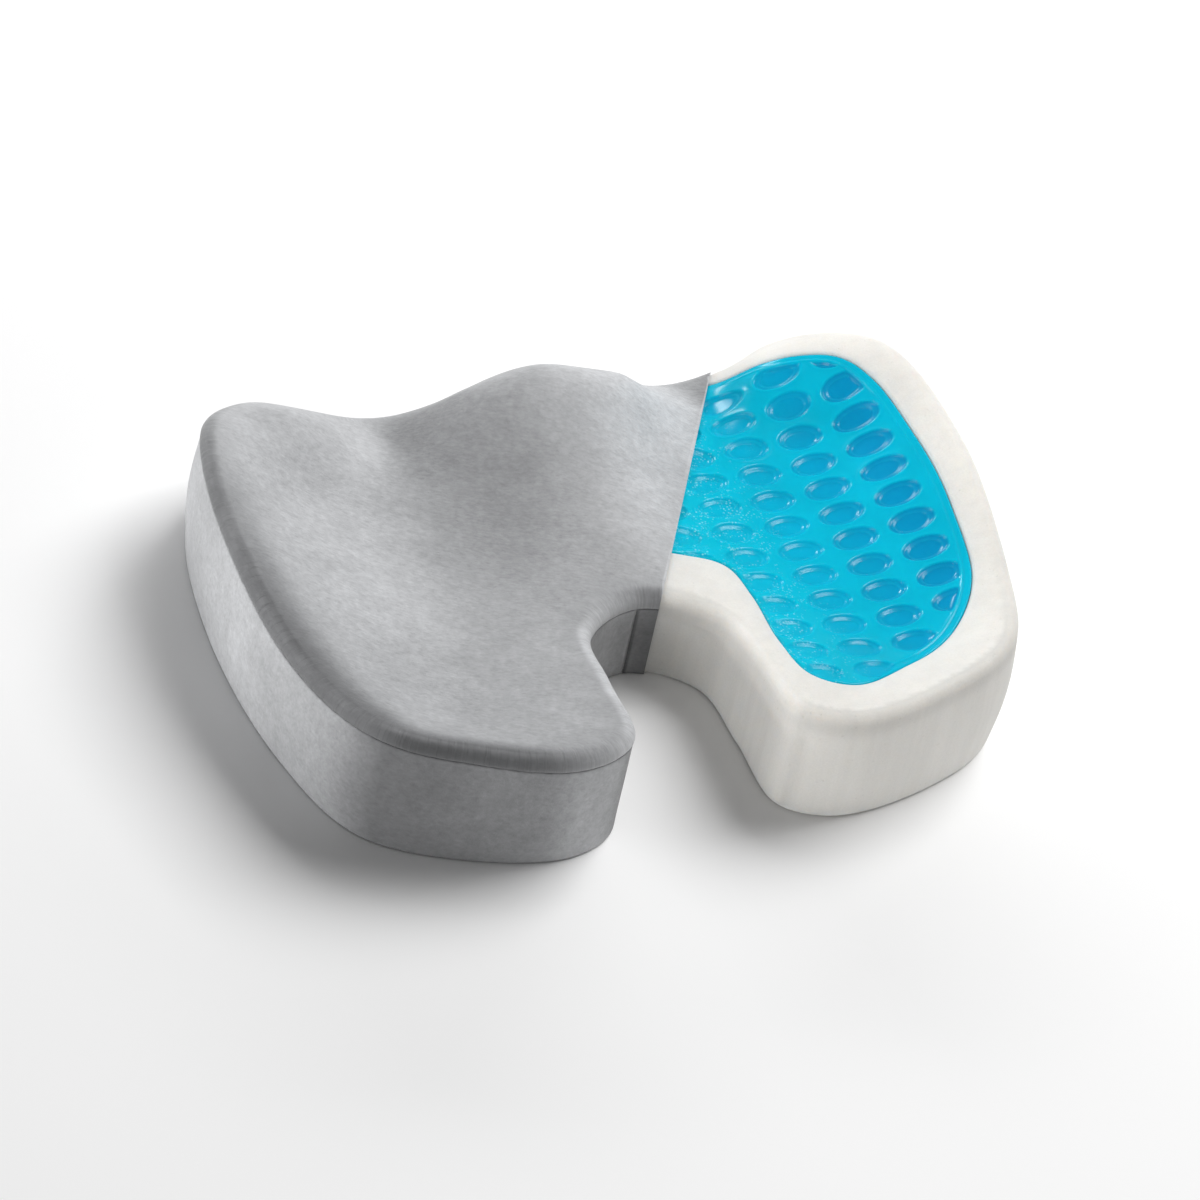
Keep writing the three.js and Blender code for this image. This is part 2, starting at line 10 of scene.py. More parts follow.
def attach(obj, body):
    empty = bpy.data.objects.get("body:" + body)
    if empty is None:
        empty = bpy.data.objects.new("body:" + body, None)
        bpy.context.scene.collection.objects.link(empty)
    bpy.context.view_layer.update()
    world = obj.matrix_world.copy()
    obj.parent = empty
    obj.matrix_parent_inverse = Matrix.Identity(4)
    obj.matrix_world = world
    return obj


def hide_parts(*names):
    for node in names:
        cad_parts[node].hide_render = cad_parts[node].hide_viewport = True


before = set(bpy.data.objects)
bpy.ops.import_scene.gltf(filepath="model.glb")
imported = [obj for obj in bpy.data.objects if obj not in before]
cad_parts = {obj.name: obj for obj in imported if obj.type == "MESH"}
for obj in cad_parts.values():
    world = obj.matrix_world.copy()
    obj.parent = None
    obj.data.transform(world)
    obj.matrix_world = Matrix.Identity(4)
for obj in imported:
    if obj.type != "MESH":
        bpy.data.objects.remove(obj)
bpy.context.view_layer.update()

MM = 0.001

# --- driving dimensions

# Half of the outside outline, from the front's middle round the +X side to the notch's middle:
# x, y at the top seam, y at the base, share of the wall's bulge.
HALF_OUTLINE = [
    (0, 163, 164, 0), (50, 156, 164, 0), (98, 153, 164, 0), (130, 156.5, 164, 0),
    (158, 156.5, 159.5, 0.4), (184, 144, 145, 1), (208, 118, 118, 1), (221.5, 32, 32, 1),
    (212, -66, -66, 1), (187, -129, -129, 1), (138, -157, -157, 0.5), (77, -167, -167, 0.3),
    (47.5, -151, -151, 0), (42.5, -102, -102, 0), (36, -58, -58, 0), (0, -37.5, -37.5, 0),
]
LOBE_CORNER = 12  # outline row where a rear lobe's inner end turns into the notch

# Heights of the covered top, before its edge is rounded: x, y, z. Mirrored in x.
TOP_HEIGHTS = [
    (0, 163, 53), (50, 156, 42), (98, 152, 43), (150, 157, 54), (190, 145, 73),
    (0, 133, 83), (48, 129, 73), (96, 123, 49), (150, 131, 71), (194, 113, 82),
    (0, 87, 77), (55, 87, 62), (105, 82, 52), (160, 82, 61), (208, 77, 83),
    (0, 17, 64), (60, 17, 54), (120, 17, 53), (170, 17, 66), (216, 17, 84),
    (0, -41, 61), (70, -53, 59), (125, -53, 58), (165, -53, 64), (208, -58, 78),
    (45, -103, 70), (90, -108, 65), (140, -108, 63), (186, -119, 81),
    (54, -151, 76), (92, -155, 75), (138, -149, 80),
]
EDGE_RADIUS = 9  # round between the top and the wall
SEAM_DROP = 10.5  # from the unrounded top down to the seam
SEAM_SHADE = 1.1  # how far the painted shade reaches beside the seam
BULGE = 3  # how far the wall swells at mid height
LEAN_START = 24  # above this the front wall leans back to the seam
BASE_ROUND = 3  # the foam's lower edge

CLOTH = 1.2  # cover cloth
GAP = 0.3  # between neighbouring pieces
FOAM_DEPTH = CLOTH + GAP  # from the cover's outside to the foam

# The cover is cut upright along a line through x = CUT_X, y = 0, turned from +Y towards +X.
CUT_X = 34
CUT_ANGLE = math.radians(28.9)
CUT_KEPT = -100  # behind this y only the -X lobe is covered

# Where the cover is cut away it no longer squeezes the foam, which stands fuller towards the front.
SWELL = 5
SWELL_START = 4  # from the cut to where it begins
SWELL_RAMP = 25  # and on to the full swell
SWELL_REAR = -60  # y behind which there is none, and how far it takes to grow
SWELL_GROWS = 160
SWELL_LOW = 50  # wall height at which it is full

# Gel pad: half outline, x and y, from the rear middle round the +X side to the front middle.
GEL_HALF = [
    (0, 0), (40, -5), (61, -17), (66, -45), (64, -87), (69, -119), (92, -132), (128, -119),
    (162, -101), (189, -65), (198, -11), (198, 46), (191, 92), (176, 117), (146, 128),
    (116, 138), (60, 136), (0, 134),
]
GEL_TOP = FOAM_DEPTH + GAP
GEL_THICK = 5.5

# Oval pockets in the gel: half lengths along x and y, columns and rows of their centres.
OVAL_X = 13.8
OVAL_Y = 8.9
OVAL_PITCH_X = 33
OVAL_PITCH_Y = 21.5
OVAL_FIRST_X = 174.5
OVAL_FIRST_Y = 117.5
OVAL_DEEP = 1.8
OVAL_STEP = 0.6  # share of the depth that lies right inside the rim; the rest is a second step
OVAL_WALL = 1.5  # width of each step
OVAL_SECOND = 2.6  # from the rim to where the second step begins
OVAL_RIM = 0.3  # how far the rim stands proud
GEL_BORDER = 5.5  # from the pad's edge to its inner ridge, which it has on its outer side only
GEL_RIDGE = 0.45
GEL_CHANNEL = 0.35  # depth of the shallow channel outside the ridge
GEL_OUTER = 100  # where the outer side begins, and how far it takes to
GEL_OUTER_RAMP = 40
GEL_ROUND = 1.7  # round of the pad's upper edge

FRONT_Y = HALF_OUTLINE[0][2]
ZIP_LEFT = -129
ZIP_RIGHT = 109
ZIP_MIDDLE = 15  # height of the zip's middle
ZIP_SLOT = 11  # opening between the strips above and below it
ZIP_TAPE_THICK = 0.9


# --- outline and top surface


def smooth(t):
    c = np.clip(t, 0, 1)
    return c * c * (3 - 2 * c)


def quarter(turn):
    """Cosine and sine of a share of a quarter turn."""
    return math.cos(turn * math.pi / 2), math.sin(turn * math.pi / 2)


def bell(x):
    """A smooth bump, 1 in its middle."""
    return np.exp(-(x**2))


def full_turn(count):
    """Evenly spaced angles round a circle."""
    return np.arange(count) / count * 2 * math.pi


def mirrored(half):
    """Rows mirrored in x and joined to a closed loop. Rows on x = 0 are used once."""
    left = [(-row[0], *row[1:]) for row in half if row[0] > 0][::-1]
    return np.array([*half, *left], float)


def closed_spline(rows, steps):
    """A closed centripetal Catmull-Rom curve through rows, of which x and y come first."""
    before, after, later = np.roll(rows, 1, 0), np.roll(rows, -1, 0), np.roll(rows, -2, 0)

    def knot(a, b):
        return np.sqrt(np.hypot(a[:, 0] - b[:, 0], a[:, 1] - b[:, 1]))[:, None]

    a, b, c = knot(before, rows), knot(rows, after), knot(after, later)
    m1 = b * ((rows - before) / a - (after - before) / (a + b) + (after - rows) / b)
    m2 = b * ((after - rows) / b - (later - rows) / (b + c) + (later - after) / c)
    t = np.arange(steps)[None, :, None] / steps
    p, q, m1, m2 = rows[:, None], after[:, None], m1[:, None], m2[:, None]
    fine = (2 * p - 2 * q + m1 + m2) * t**3 + (3 * q - 3 * p - 2 * m1 - m2) * t**2 + m1 * t + p
    return fine.reshape(-1, rows.shape[1])


def loop_evenly(loop, count):
    """Points evenly spaced round a closed loop."""
    rows = np.concatenate([loop, loop[:1]])
    far = np.concatenate([[0], np.cumsum(np.hypot(*np.diff(rows[:, :2], axis=0).T))])
    at = far[-1] * np.arange(count) / count
    return np.stack([np.interp(at, far, column) for column in rows.T], 1)


def inward(loop):
    """Inward unit normals of a closed clockwise loop."""
    step = np.roll(loop, -1, 0)[:, :2] - np.roll(loop, 1, 0)[:, :2]
    normal = np.stack([step[:, 1], -step[:, 0]], 1)
    return normal / np.linalg.norm(normal, axis=1)[:, None]


class ThinPlate:
    """The smoothest surface through the top heights."""

    UNIT = 100  # keeps the system well scaled

    def __init__(self, points):
        self.at = points[:, :2]
        n = len(points)
        flat = self.flat(self.at)
        rows = np.zeros((n + 3, n + 3))
        rows[:n, :n] = self.bend(self.at)
        rows[:n, n:] = flat
        rows[n:, :n] = flat.T
        self.weights = np.linalg.solve(rows, np.concatenate([points[:, 2], np.zeros(3)]))

    def flat(self, xy):
        return np.concatenate([np.ones((len(xy), 1)), xy / self.UNIT], 1)

    def bend(self, xy):
        r2 = ((xy[:, None] - self.at[None]) ** 2).sum(-1) / self.UNIT**2
        return r2 * np.log(np.maximum(r2, 1e-12)) / 2

    def __call__(self, xy):
        xy = np.asarray(xy, float)
        n = len(self.at)
        return self.bend(xy) @ self.weights[:n] + self.flat(xy) @ self.weights[n:]


top_height = ThinPlate(mirrored(TOP_HEIGHTS))


def past_plane(x, y):
    """How far a place is past the cut's plane, towards the bare side."""
    return (x - CUT_X) * math.cos(CUT_ANGLE) - y * math.sin(CUT_ANGLE)


def beside_cut(xy):
    """How far a point is to the bare side of the cut; negative under the cover."""
    x, y = xy[:, 0], xy[:, 1]
    return np.where(y < CUT_KEPT, x, past_plane(x, y))


def swell(xy):
    """How much fuller the bare foam stands at places in the plan."""
    x, y = xy[:, 0], xy[:, 1]
    beside = smooth((past_plane(x, y) - SWELL_START) / SWELL_RAMP)
    return SWELL * beside * smooth((y - SWELL_REAR) / SWELL_GROWS)


def inner_top(xy):
    """The top of the foam and of the gel pad, before their depth under the cover is taken off."""
    return top_height(xy) + swell(xy)


def fine_outline():
    """The outline as many points, their inward normals and their distance round the loop."""
    loop = closed_spline(mirrored(HALF_OUTLINE), 60)
    step = np.hypot(*(np.roll(loop, -1, 0) - loop)[:, :2].T)
    return loop, inward(loop), np.concatenate([[0], np.cumsum(step)])


OUTLINE, OUTLINE_INWARD, OUTLINE_FAR = fine_outline()
AROUND = OUTLINE_FAR[-1]  # the way round the cushion, from the front's middle, clockwise


def along(x, y):
    """The distance round the outline of its point nearest to x, y."""
    return OUTLINE_FAR[np.hypot(OUTLINE[:, 0] - x, OUTLINE[:, 1] - y).argmin()]


def round_trip(count):
    """Evenly spaced distances round the whole outline."""
    return AROUND * np.arange(count) / count


class Wall:
    """Stations at given distances round the cushion, and the points above and below them."""

    def __init__(self, far):
        self.far = far

        def at(columns):
            closed = np.concatenate([columns, columns[:1]])
            return np.stack([np.interp(far % AROUND, OUTLINE_FAR, c) for c in closed.T], 1)

        self.x, self.y, self.y_base, self.bulge = at(OUTLINE).T
        normal = at(OUTLINE_INWARD)
        self.inward = normal / np.linalg.norm(normal, axis=1)[:, None]
        height = top_height(np.stack([self.x, self.y], 1))
        self.rim = height - EDGE_RADIUS
        self.seam = height - SEAM_DROP

    def wall(self, z, depth):
        """Points of the wall at heights z, depth below the cover's outside."""
        z = np.broadcast_to(z, self.x.shape).astype(float)
        lean = smooth((z - LEAN_START) / (self.seam - LEAN_START))
        bulge = BULGE * self.bulge * np.sin(np.pi * np.clip(z / self.rim, 0, 1))
        inset = depth - bulge
        y = self.y_base + (self.y - self.y_base) * lean
        return np.stack([self.x + self.inward[:, 0] * inset, y + self.inward[:, 1] * inset, z], 1)

    def edge(self, turn, depth):
        """Points of the rounded edge: turn 0 on the wall, 1 on the top."""
        out, rise = quarter(turn)
        outside = EDGE_RADIUS * (1 - out)
        z = top_height(self.inset(outside)) - EDGE_RADIUS * (1 - rise) - depth * rise
        return np.column_stack([self.inset(outside + depth * out), z])

    def inset(self, by):
        by = np.broadcast_to(by, self.x.shape)
        return np.stack([self.x + self.inward[:, 0] * by, self.y + self.inward[:, 1] * by], 1)


# --- meshes


def in_parts(work, points):
    """What work gives for all the points, a few thousand of them at a time."""
    parts = np.array_split(points, len(points) // 4000 + 1)
    return np.concatenate([work(part) for part in parts])


def inside(points, loop):
    """Whether each point lies inside a closed loop."""
    a, b = loop[:, :2], np.roll(loop[:, :2], -1, 0)
    rise = np.where(b[:, 1] == a[:, 1], 1, b[:, 1] - a[:, 1])

    def crossed(part):
        x, y = part[:, :1], part[:, 1:2]
        spans = (a[:, 1] > y) != (b[:, 1] > y)
        crossing = (b[:, 0] - a[:, 0]) * (y - a[:, 1]) / rise + a[:, 0]
        return (spans & (x < crossing)).sum(1) % 2 == 1

    return in_parts(crossed, points)


def distance(points, loop):
    """How far each point is from the nearest segment of a closed loop."""
    a = loop[:, :2]
    step = np.roll(a, -1, 0) - a
    size = (step**2).sum(1)

    def nearest(part):
        p = part[:, None, :2] - a
        t = np.clip((p * step).sum(-1) / size, 0, 1)
        return np.sqrt(((p - t[..., None] * step) ** 2).sum(-1)).min(1)

    return in_parts(nearest, points)


def lattice(loop, spacing, clear=0.6):
    """Points of a triangular lattice inside a loop, clear of its edge."""
    low, high = loop[:, :2].min(0), loop[:, :2].max(0)
    rows = np.arange(low[1], high[1], spacing * math.sqrt(3) / 2)
    columns = np.arange(low[0], high[0], spacing)
    x = columns[None, :] + (np.arange(len(rows)) % 2)[:, None] * spacing / 2
    points = np.stack([x, np.broadcast_to(rows[:, None], x.shape)], -1).reshape(-1, 2)
    points = points[inside(points, loop)]
    return points[distance(points, loop) > clear * spacing]


class Skin:
    """Collects points and the faces between them, with named values on the points."""

    def __init__(self):
        self.points = np.zeros((0, 3))
        self.faces = []
        self.values = {}

    def add(self, points, **values):
        start = len(self.points)
        self.points = np.concatenate([self.points, points])
        for name in {*self.values, *values}:
            old = self.values.get(name, np.zeros(start))
            new = np.broadcast_to(values.get(name, 0.0), len(points))
            self.values[name] = np.concatenate([old, new])
        return np.arange(start, len(self.points))

    def quads(self, a, b, c, d, flip=False):
        corners = (d, c, b, a) if flip else (a, b, c, d)
        self.faces.extend(zip(*[corner.tolist() for corner in corners]))

    def loft(self, rings, closed=True, flip=False):
        """Quads between rows of points. Clockwise rings from low to high face out."""
        for low, high in zip(rings, rings[1:]):
            if closed:
                self.quads(low, high, np.roll(high, -1), np.roll(low, -1), flip)
            else:
                self.quads(low[:-1], high[:-1], high[1:], low[1:], flip)

    def tube(self, rings):
        """A closed loft with both its ends capped."""
        self.loft(rings)
        for ring in (rings[0], rings[-1]):
            self.faces.append(tuple(ring.tolist()))

    def shell(self, front, back):
        """A flat closed shell between two sheets of rows: front, back and all four edges."""
        self.loft(front, closed=False)
        self.loft(back, closed=False, flip=True)
        self.loft([back[0], front[0]], closed=False)
        self.loft([front[-1], back[-1]], closed=False)
        for end in (0, -1):
            near, far = np.array([[row[end] for row in front], [row[end] for row in back]])
            self.quads(near[:-1], near[1:], far[1:], far[:-1], flip=end == 0)

    def fill(self, ring, extra=None, up=True, spacing=None, lift=None, holes=()):
        """Triangles inside a closed ring of points, through extra points whose height lift gives."""
        loops = [ring, *holes]
        if spacing:
            extra = lattice(self.points[ring], spacing)
            for hole in holes:
                outside = ~inside(extra, self.points[hole])
                apart = distance(extra, self.points[hole]) > 0.6 * spacing
                extra = extra[outside & apart]
        start = np.concatenate(loops)
        flat = self.points[start][:, :2]
        if extra is not None and len(extra):
            start = np.concatenate([start, self.add(np.column_stack([extra, lift(extra)]))])
            flat = np.concatenate([flat, extra])
        edges = []
        begin = 0
        for loop in loops:
            n = len(loop)
            edges += [(begin + i, begin + (i + 1) % n) for i in range(n)]
            begin += n
        made = delaunay_2d_cdt([Vector(p) for p in flat], edges, [], 0, 1e-4)
        to_input = [start[o[0]] if o else -1 for o in made[3]]
        tris = np.array([[to_input[i] for i in face] for face in made[2]])
        middle = self.points[tris].mean(1)
        kept = inside(middle, self.points[ring])
        for hole in holes:
            kept &= ~inside(middle, self.points[hole])
        a, b, c = (self.points[tris[:, k]][:, :2] for k in range(3))
        turn = (b[:, 0] - a[:, 0]) * (c[:, 1] - a[:, 1]) - (b[:, 1] - a[:, 1]) * (c[:, 0] - a[:, 0])
        tris[(turn > 0) != up] = tris[(turn > 0) != up][:, ::-1]
        self.faces.extend(map(tuple, tris[kept].tolist()))
        return start

    def build(self, name, material, sharp=50):
        """The object, in metres, shaded smooth but for edges sharper than that many degrees."""
        mesh = bpy.data.meshes.new(name)
        mesh.from_pydata((self.points * MM).tolist(), [], self.faces)
        for value, numbers in self.values.items():
            mesh.attributes.new(value, "FLOAT", "POINT").data.foreach_set("value", numbers)
        mesh.materials.append(material)
        face_out(mesh)
        shade(mesh, sharp)
        piece = bpy.data.objects.new(name, mesh)
        bpy.context.scene.collection.objects.link(piece)
        return piece


def face_out(mesh):
    """Turns all faces of closed shells outwards."""
    work = bmesh.new()
    work.from_mesh(mesh)
    bmesh.ops.recalc_face_normals(work, faces=work.faces)
    work.to_mesh(mesh)
    work.free()


def shade(mesh, sharp):
    """Smooth shading, but for edges sharper than that many degrees."""
    mesh.polygons.foreach_set("use_smooth", [True] * len(mesh.polygons))
    mesh.set_sharp_from_angle(angle=math.radians(sharp))
    mesh.update()


def outlined(half, count):
    """A closed clockwise loop of evenly spaced points through mirrored rows."""
    loop = loop_evenly(closed_spline(mirrored(half), 24), count)
    area = (loop[:, 0] * np.roll(loop[:, 1], -1) - np.roll(loop[:, 0], -1) * loop[:, 1]).sum()
    return loop[::-1] if area > 0 else loop


def grown(loop, by):
    """The loop moved outwards."""
    return loop[:, :2] - inward(loop) * by


def bumps(points, size, seed=0):
    """Smooth noise from -1 to 1 at points in millimetres, with bumps about that size."""
    shift = Vector((seed * 7.3, seed * 3.1, seed * 5.7))
    return np.array([noise.noise(Vector(p) / size + shift) for p in points])


# --- foam


FOAM_LIP = 1.8  # round of the foam's edge round the gel pad
QUARTERS = (1, 0.75, 0.5, 0.25, 0)  # steps of a rounded edge, back to its start
RIM_SHADE_HIGH = 6  # half height of the band of painted shade below the foam's rounded edge
PARTING_DROP = 4.5  # the mould's parting line, below the seam's height
PARTING_HIGH = 0.6
PARTING_WIDE = 0.9
CREASE_DEEP = 1.3  # the soft upright crease at a lobe's corner beside the notch
CREASE_WIDE = 3.5
CREASE_FADE = 14  # from the seam down to the crease's full depth


def foam_wall(wall, z):
    """Points of the foam's wall at heights z, with the mould's parting line and the lobe's crease."""
    points = wall.wall(z, FOAM_DEPTH - swell(wall.inset(0)) * smooth(z / SWELL_LOW))
    flecks = 1 + 0.6 * bumps(points, 3, 8)
    ridge = PARTING_HIGH * flecks * bell((z - wall.seam + PARTING_DROP) / PARTING_WIDE)
    corner = along(*HALF_OUTLINE[LOBE_CORNER][:2])
    crease = CREASE_DEEP * bell((wall.far - corner + 2 * CREASE_WIDE) / CREASE_WIDE)
    crease *= smooth((wall.seam - z) / CREASE_FADE)
    points[:, :2] += wall.inward * (crease - ridge)[:, None]
    return points


def foam_block(material):
    """The moulded block, with the recess for the gel pad let into its top."""
    wall = Wall(round_trip(640))
    skin = Skin()
    bottom = FOAM_DEPTH * smooth(-beside_cut(wall.inset(0)) / 4)  # room for the base cloth
    # Painted shade: the walls that face the rear are darker.
    rear = smooth(wall.inward[:, 1] / 0.9)
    # Painted shade: a band below the rounded edge is darker on the walls that face -X and -Y.
    shaded_walls = smooth(wall.inward.max(1) / 0.5)

    def add(points):
        pressed = bell((points[:, 2] - wall.seam) / RIM_SHADE_HIGH) * shaded_walls
        return skin.add(points, pressed=pressed, rear=rear)

    def low_ring(turn):
        out, rise = quarter(turn)
        points = wall.wall(BASE_ROUND, FOAM_DEPTH + BASE_ROUND * (1 - out))
        points[:, 2] = bottom + BASE_ROUND * (1 - rise)
        return points

    foot = [skin.add(low_ring(turn)) for turn in QUARTERS[:-1]]
    start = BASE_ROUND + bottom
    walls = [add(foam_wall(wall, start + (wall.seam - start) * share)) for share in np.linspace(0, 1, 22)]
    depth = FOAM_DEPTH - swell(wall.inset(0))
    edge = [add(wall.edge(turn, depth)) for turn in np.linspace(0, 1, 9)]
    skin.loft([*foot, *walls, *edge])

    def lift(xy):
        return inner_top(xy) - FOAM_DEPTH

    pad = outlined(GEL_HALF, 720)
    recess = GEL_TOP + GEL_THICK + GAP - FOAM_DEPTH
    lips = []
    for turn in QUARTERS:
        out, rise = quarter(turn)
        loop = grown(pad, GAP + FOAM_LIP * (1 - out))
        lips.append(skin.add(np.column_stack([loop, lift(loop) - FOAM_LIP * (1 - rise)])))
    floor = grown(pad, GAP)
    lips.append(skin.add(np.column_stack([floor, lift(floor) - recess])))
    skin.loft(lips, flip=True)
    skin.fill(edge[-1], spacing=3.4, lift=lift, holes=[lips[0]])
    skin.fill(lips[-1], spacing=12, lift=lambda xy: lift(xy) - recess)
    skin.fill(foot[0], up=False)
    block = skin.build("foam_block", material, sharp=60)
    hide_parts("foam_core")
    return block


# --- gel pad


def oval_centres(loop):
    """Centres of the stamped ovals that lie in the pad at least in part."""
    left, rear = loop.min(0)
    columns = np.arange(OVAL_FIRST_X, left - OVAL_X, -OVAL_PITCH_X)
    rows = np.arange(OVAL_FIRST_Y, rear - OVAL_Y, -OVAL_PITCH_Y)
    centres = np.array([(x, y) for x in columns for y in rows])
    near = inside(centres, loop) | (distance(centres, loop) < OVAL_Y)
    return centres[near]


def oval_distance(xy, centres):
    """How far a point is outside the nearest oval's rim; negative within it."""
    delta = xy[:, None] - centres[None]
    share = np.sqrt((delta[..., 0] / OVAL_X) ** 2 + (delta[..., 1] / OVAL_Y) ** 2).min(1)
    return (share - 1) * (OVAL_X + OVAL_Y) / 2


def gel_relief(xy, centres, loop):
    """Height of the stamped pattern over the pad's plain top, and how deep in a pocket it is."""
    edge = distance(xy, loop)
    off = oval_distance(xy, centres)
    outer = smooth((np.abs(xy[:, 0]) - GEL_OUTER) / GEL_OUTER_RAMP)
    full = smooth((edge - 0.6 - GEL_BORDER * outer) / 1.2)  # the pattern starts inside the border
    first_step, second_step = smooth(-off / OVAL_WALL), smooth((-off - OVAL_SECOND) / OVAL_WALL)
    pocket = OVAL_STEP * first_step + (1 - OVAL_STEP) * second_step
    ridge = GEL_RIDGE * bell((edge - GEL_BORDER) / 0.7) * outer
    channel = GEL_CHANNEL * smooth((GEL_BORDER - edge) / 2) * outer
    height = full * (OVAL_RIM * bell(off / 1.1) - OVAL_DEEP * pocket) + ridge - channel
    return height, full * pocket


def pattern_points(centres, inner):
    """Points for the pattern's mesh: rings along the steps of every oval, and a lattice between them."""
    turns = full_turn(40)
    offs = (2.2, 1.5, 0.8, 0.25, -0.3, -0.8, -1.4, -2.0, -2.6, -3.1, -3.7, -4.3, -5.0)
    points = []
    for k, off in enumerate(offs):
        scale = 1 + off * 2 / (OVAL_X + OVAL_Y)
        turn = turns + (k % 2) * math.pi / 40
        oval = np.stack([OVAL_X * scale * np.cos(turn), OVAL_Y * scale * np.sin(turn)], 1)
        points.append((centres[:, None] + oval[None]).reshape(-1, 2))
    land = lattice(inner, 2.6)  # kept where there are no rings
    off = oval_distance(land, centres)
    points = np.concatenate([*points, land[(off > 3.4) | (off < -5.6)]])
    points = points[inside(points, inner)]
    return points[distance(points, inner) > 0.7]


def gel_pad(material):
    """The gel sheet: rounded edge, inner ridge along its outer side and stamped oval pockets."""
    loop = outlined(GEL_HALF, 900)
    centres = oval_centres(loop)
    skin = Skin()

    def top(xy, drop=0):
        relief, deep = gel_relief(xy, centres, loop)
        return np.column_stack([xy, inner_top(xy) - GEL_TOP + relief - drop]), deep

    def under(xy):
        return inner_top(xy) - GEL_TOP - GEL_THICK

    bottom = grown(loop, 0)
    rings = [skin.add(np.column_stack([bottom, under(bottom)]))]
    insets = []
    for turn in QUARTERS[::-1]:
        out, rise = quarter(turn)
        insets.append((GEL_ROUND * (1 - out), GEL_ROUND * (1 - rise)))
    insets += [(inset, 0) for inset in (2.4, 3.2, 4, 4.6, 5.1, 5.5, 5.9, 6.4, 7.2)]
    for inset, drop in insets:
        points, deep = top(grown(loop, -inset), drop)
        rings.append(skin.add(points, pocket=deep))
    skin.loft(rings)
    extra = pattern_points(centres, skin.points[rings[-1]])
    start = len(skin.points)
    skin.fill(rings[-1], extra=extra, lift=lambda xy: top(xy)[0][:, 2])
    skin.values["pocket"][start:] = gel_relief(skin.points[start:, :2], centres, loop)[1]
    skin.fill(rings[0], spacing=9, up=False, lift=under)
    pad = skin.build("gel_pad_stamped", material, sharp=60)
    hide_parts("gel_pad")
    return pad


# --- velour cover

EDGE_SHADE_SIDE = Vector((-0.62, -0.72, 0.3)).normalized()  # painted shade: the rounded edge is darker where it faces this way
SLOPE_SHADE_SIDE = Vector((-0.9, -0.1, 0.42)).normalized()  # painted shade: the top's slopes are darker as they face this way and lighter as they face away

# Painted shade on the side cloth, by the wall's direction in degrees, 0 to the rear, 90 to +X.
SIDE_SHADE_BY_FACING = [
    (-180, 0.9), (-120, 0.95), (-85, 0.98), (-70, 0.77), (-56, 0.48), (-40, 0.33), (-24, 0.36), (-9, 0.5),
    (6, 0.78), (26, 0.9), (48, 0.55), (70, 0.22), (110, 0.2), (180, 0.9),
]
SHADE_BAND_SIDE = np.array([-0.45, -0.9])  # painted shade in a band along the top's edge on this side


def painted_band_shade(points, edge, outwards):
    """How far the painted shade reaches, from 0 to 1: a band along the left and rear edge."""
    rear = smooth((-outwards[:, 1] - 0.55) / 0.35)
    near = 1 - smooth((edge - 9 + 4 * rear) / (24 - 8 * rear))
    wide = 1 - smooth((edge - 12) / 70)
    from_rim = np.maximum(smooth((edge - 1) / 6), 0.8 * rear)
    left = smooth((-52 - points[:, 0]) / 65)
    return smooth(outwards @ SHADE_BAND_SIDE / 0.7) * from_rim * left * (0.62 * near + 0.38 * wide)


def name_pile_and_shade(piece):
    """Keeps on each point how the surface lies against the pile and how near the edge it is, which set the
    cloth's painted shade.
    """
    mesh = piece.data
    normals = np.array([v.normal for v in mesh.vertices])
    points = np.array([v.co for v in mesh.vertices])[:, :2] / MM
    edge = distance(points, OUTLINE[::3])
    gap = ((points[:, None] - OUTLINE[None, ::3, :2]) ** 2).sum(-1).argmin(1)
    facing = np.degrees(np.arctan2(normals[:, 0], -normals[:, 1]))
    height = np.array([v.co.z for v in mesh.vertices]) / MM
    from_seam = np.abs(height - top_height(OUTLINE[::3, :2][gap]) + SEAM_DROP)
    # Most of these values set painted shade by the surface's direction, beside the seam and along the
    # edges; around and inset place the edge's streaks.
    named = {
        "shade_band": painted_band_shade(points, edge, -OUTLINE_INWARD[::3][gap]),
        # Painted shade in a thin line beside the seam.
        "seam": (1 - smooth(from_seam / SEAM_SHADE)) * (edge < BULGE + 2),
        "nap_shade": normals @ np.array(EDGE_SHADE_SIDE),
        "lean": normals @ np.array(SLOPE_SHADE_SIDE),
        "side_shade": np.interp(facing, *np.transpose(SIDE_SHADE_BY_FACING)),
        "edge": 1 - smooth((edge - 4) / 17),
        "around": (OUTLINE_FAR[:-1:3][gap] + 0.75 * AROUND) % AROUND,  # starts where the cover is cut away
        "inset": edge,
    }
    for name, numbers in named.items():
        layer = mesh.attributes.get(name) or mesh.attributes.new(name, "FLOAT", "POINT")
        layer.data.foreach_set("value", numbers.astype(np.float32))


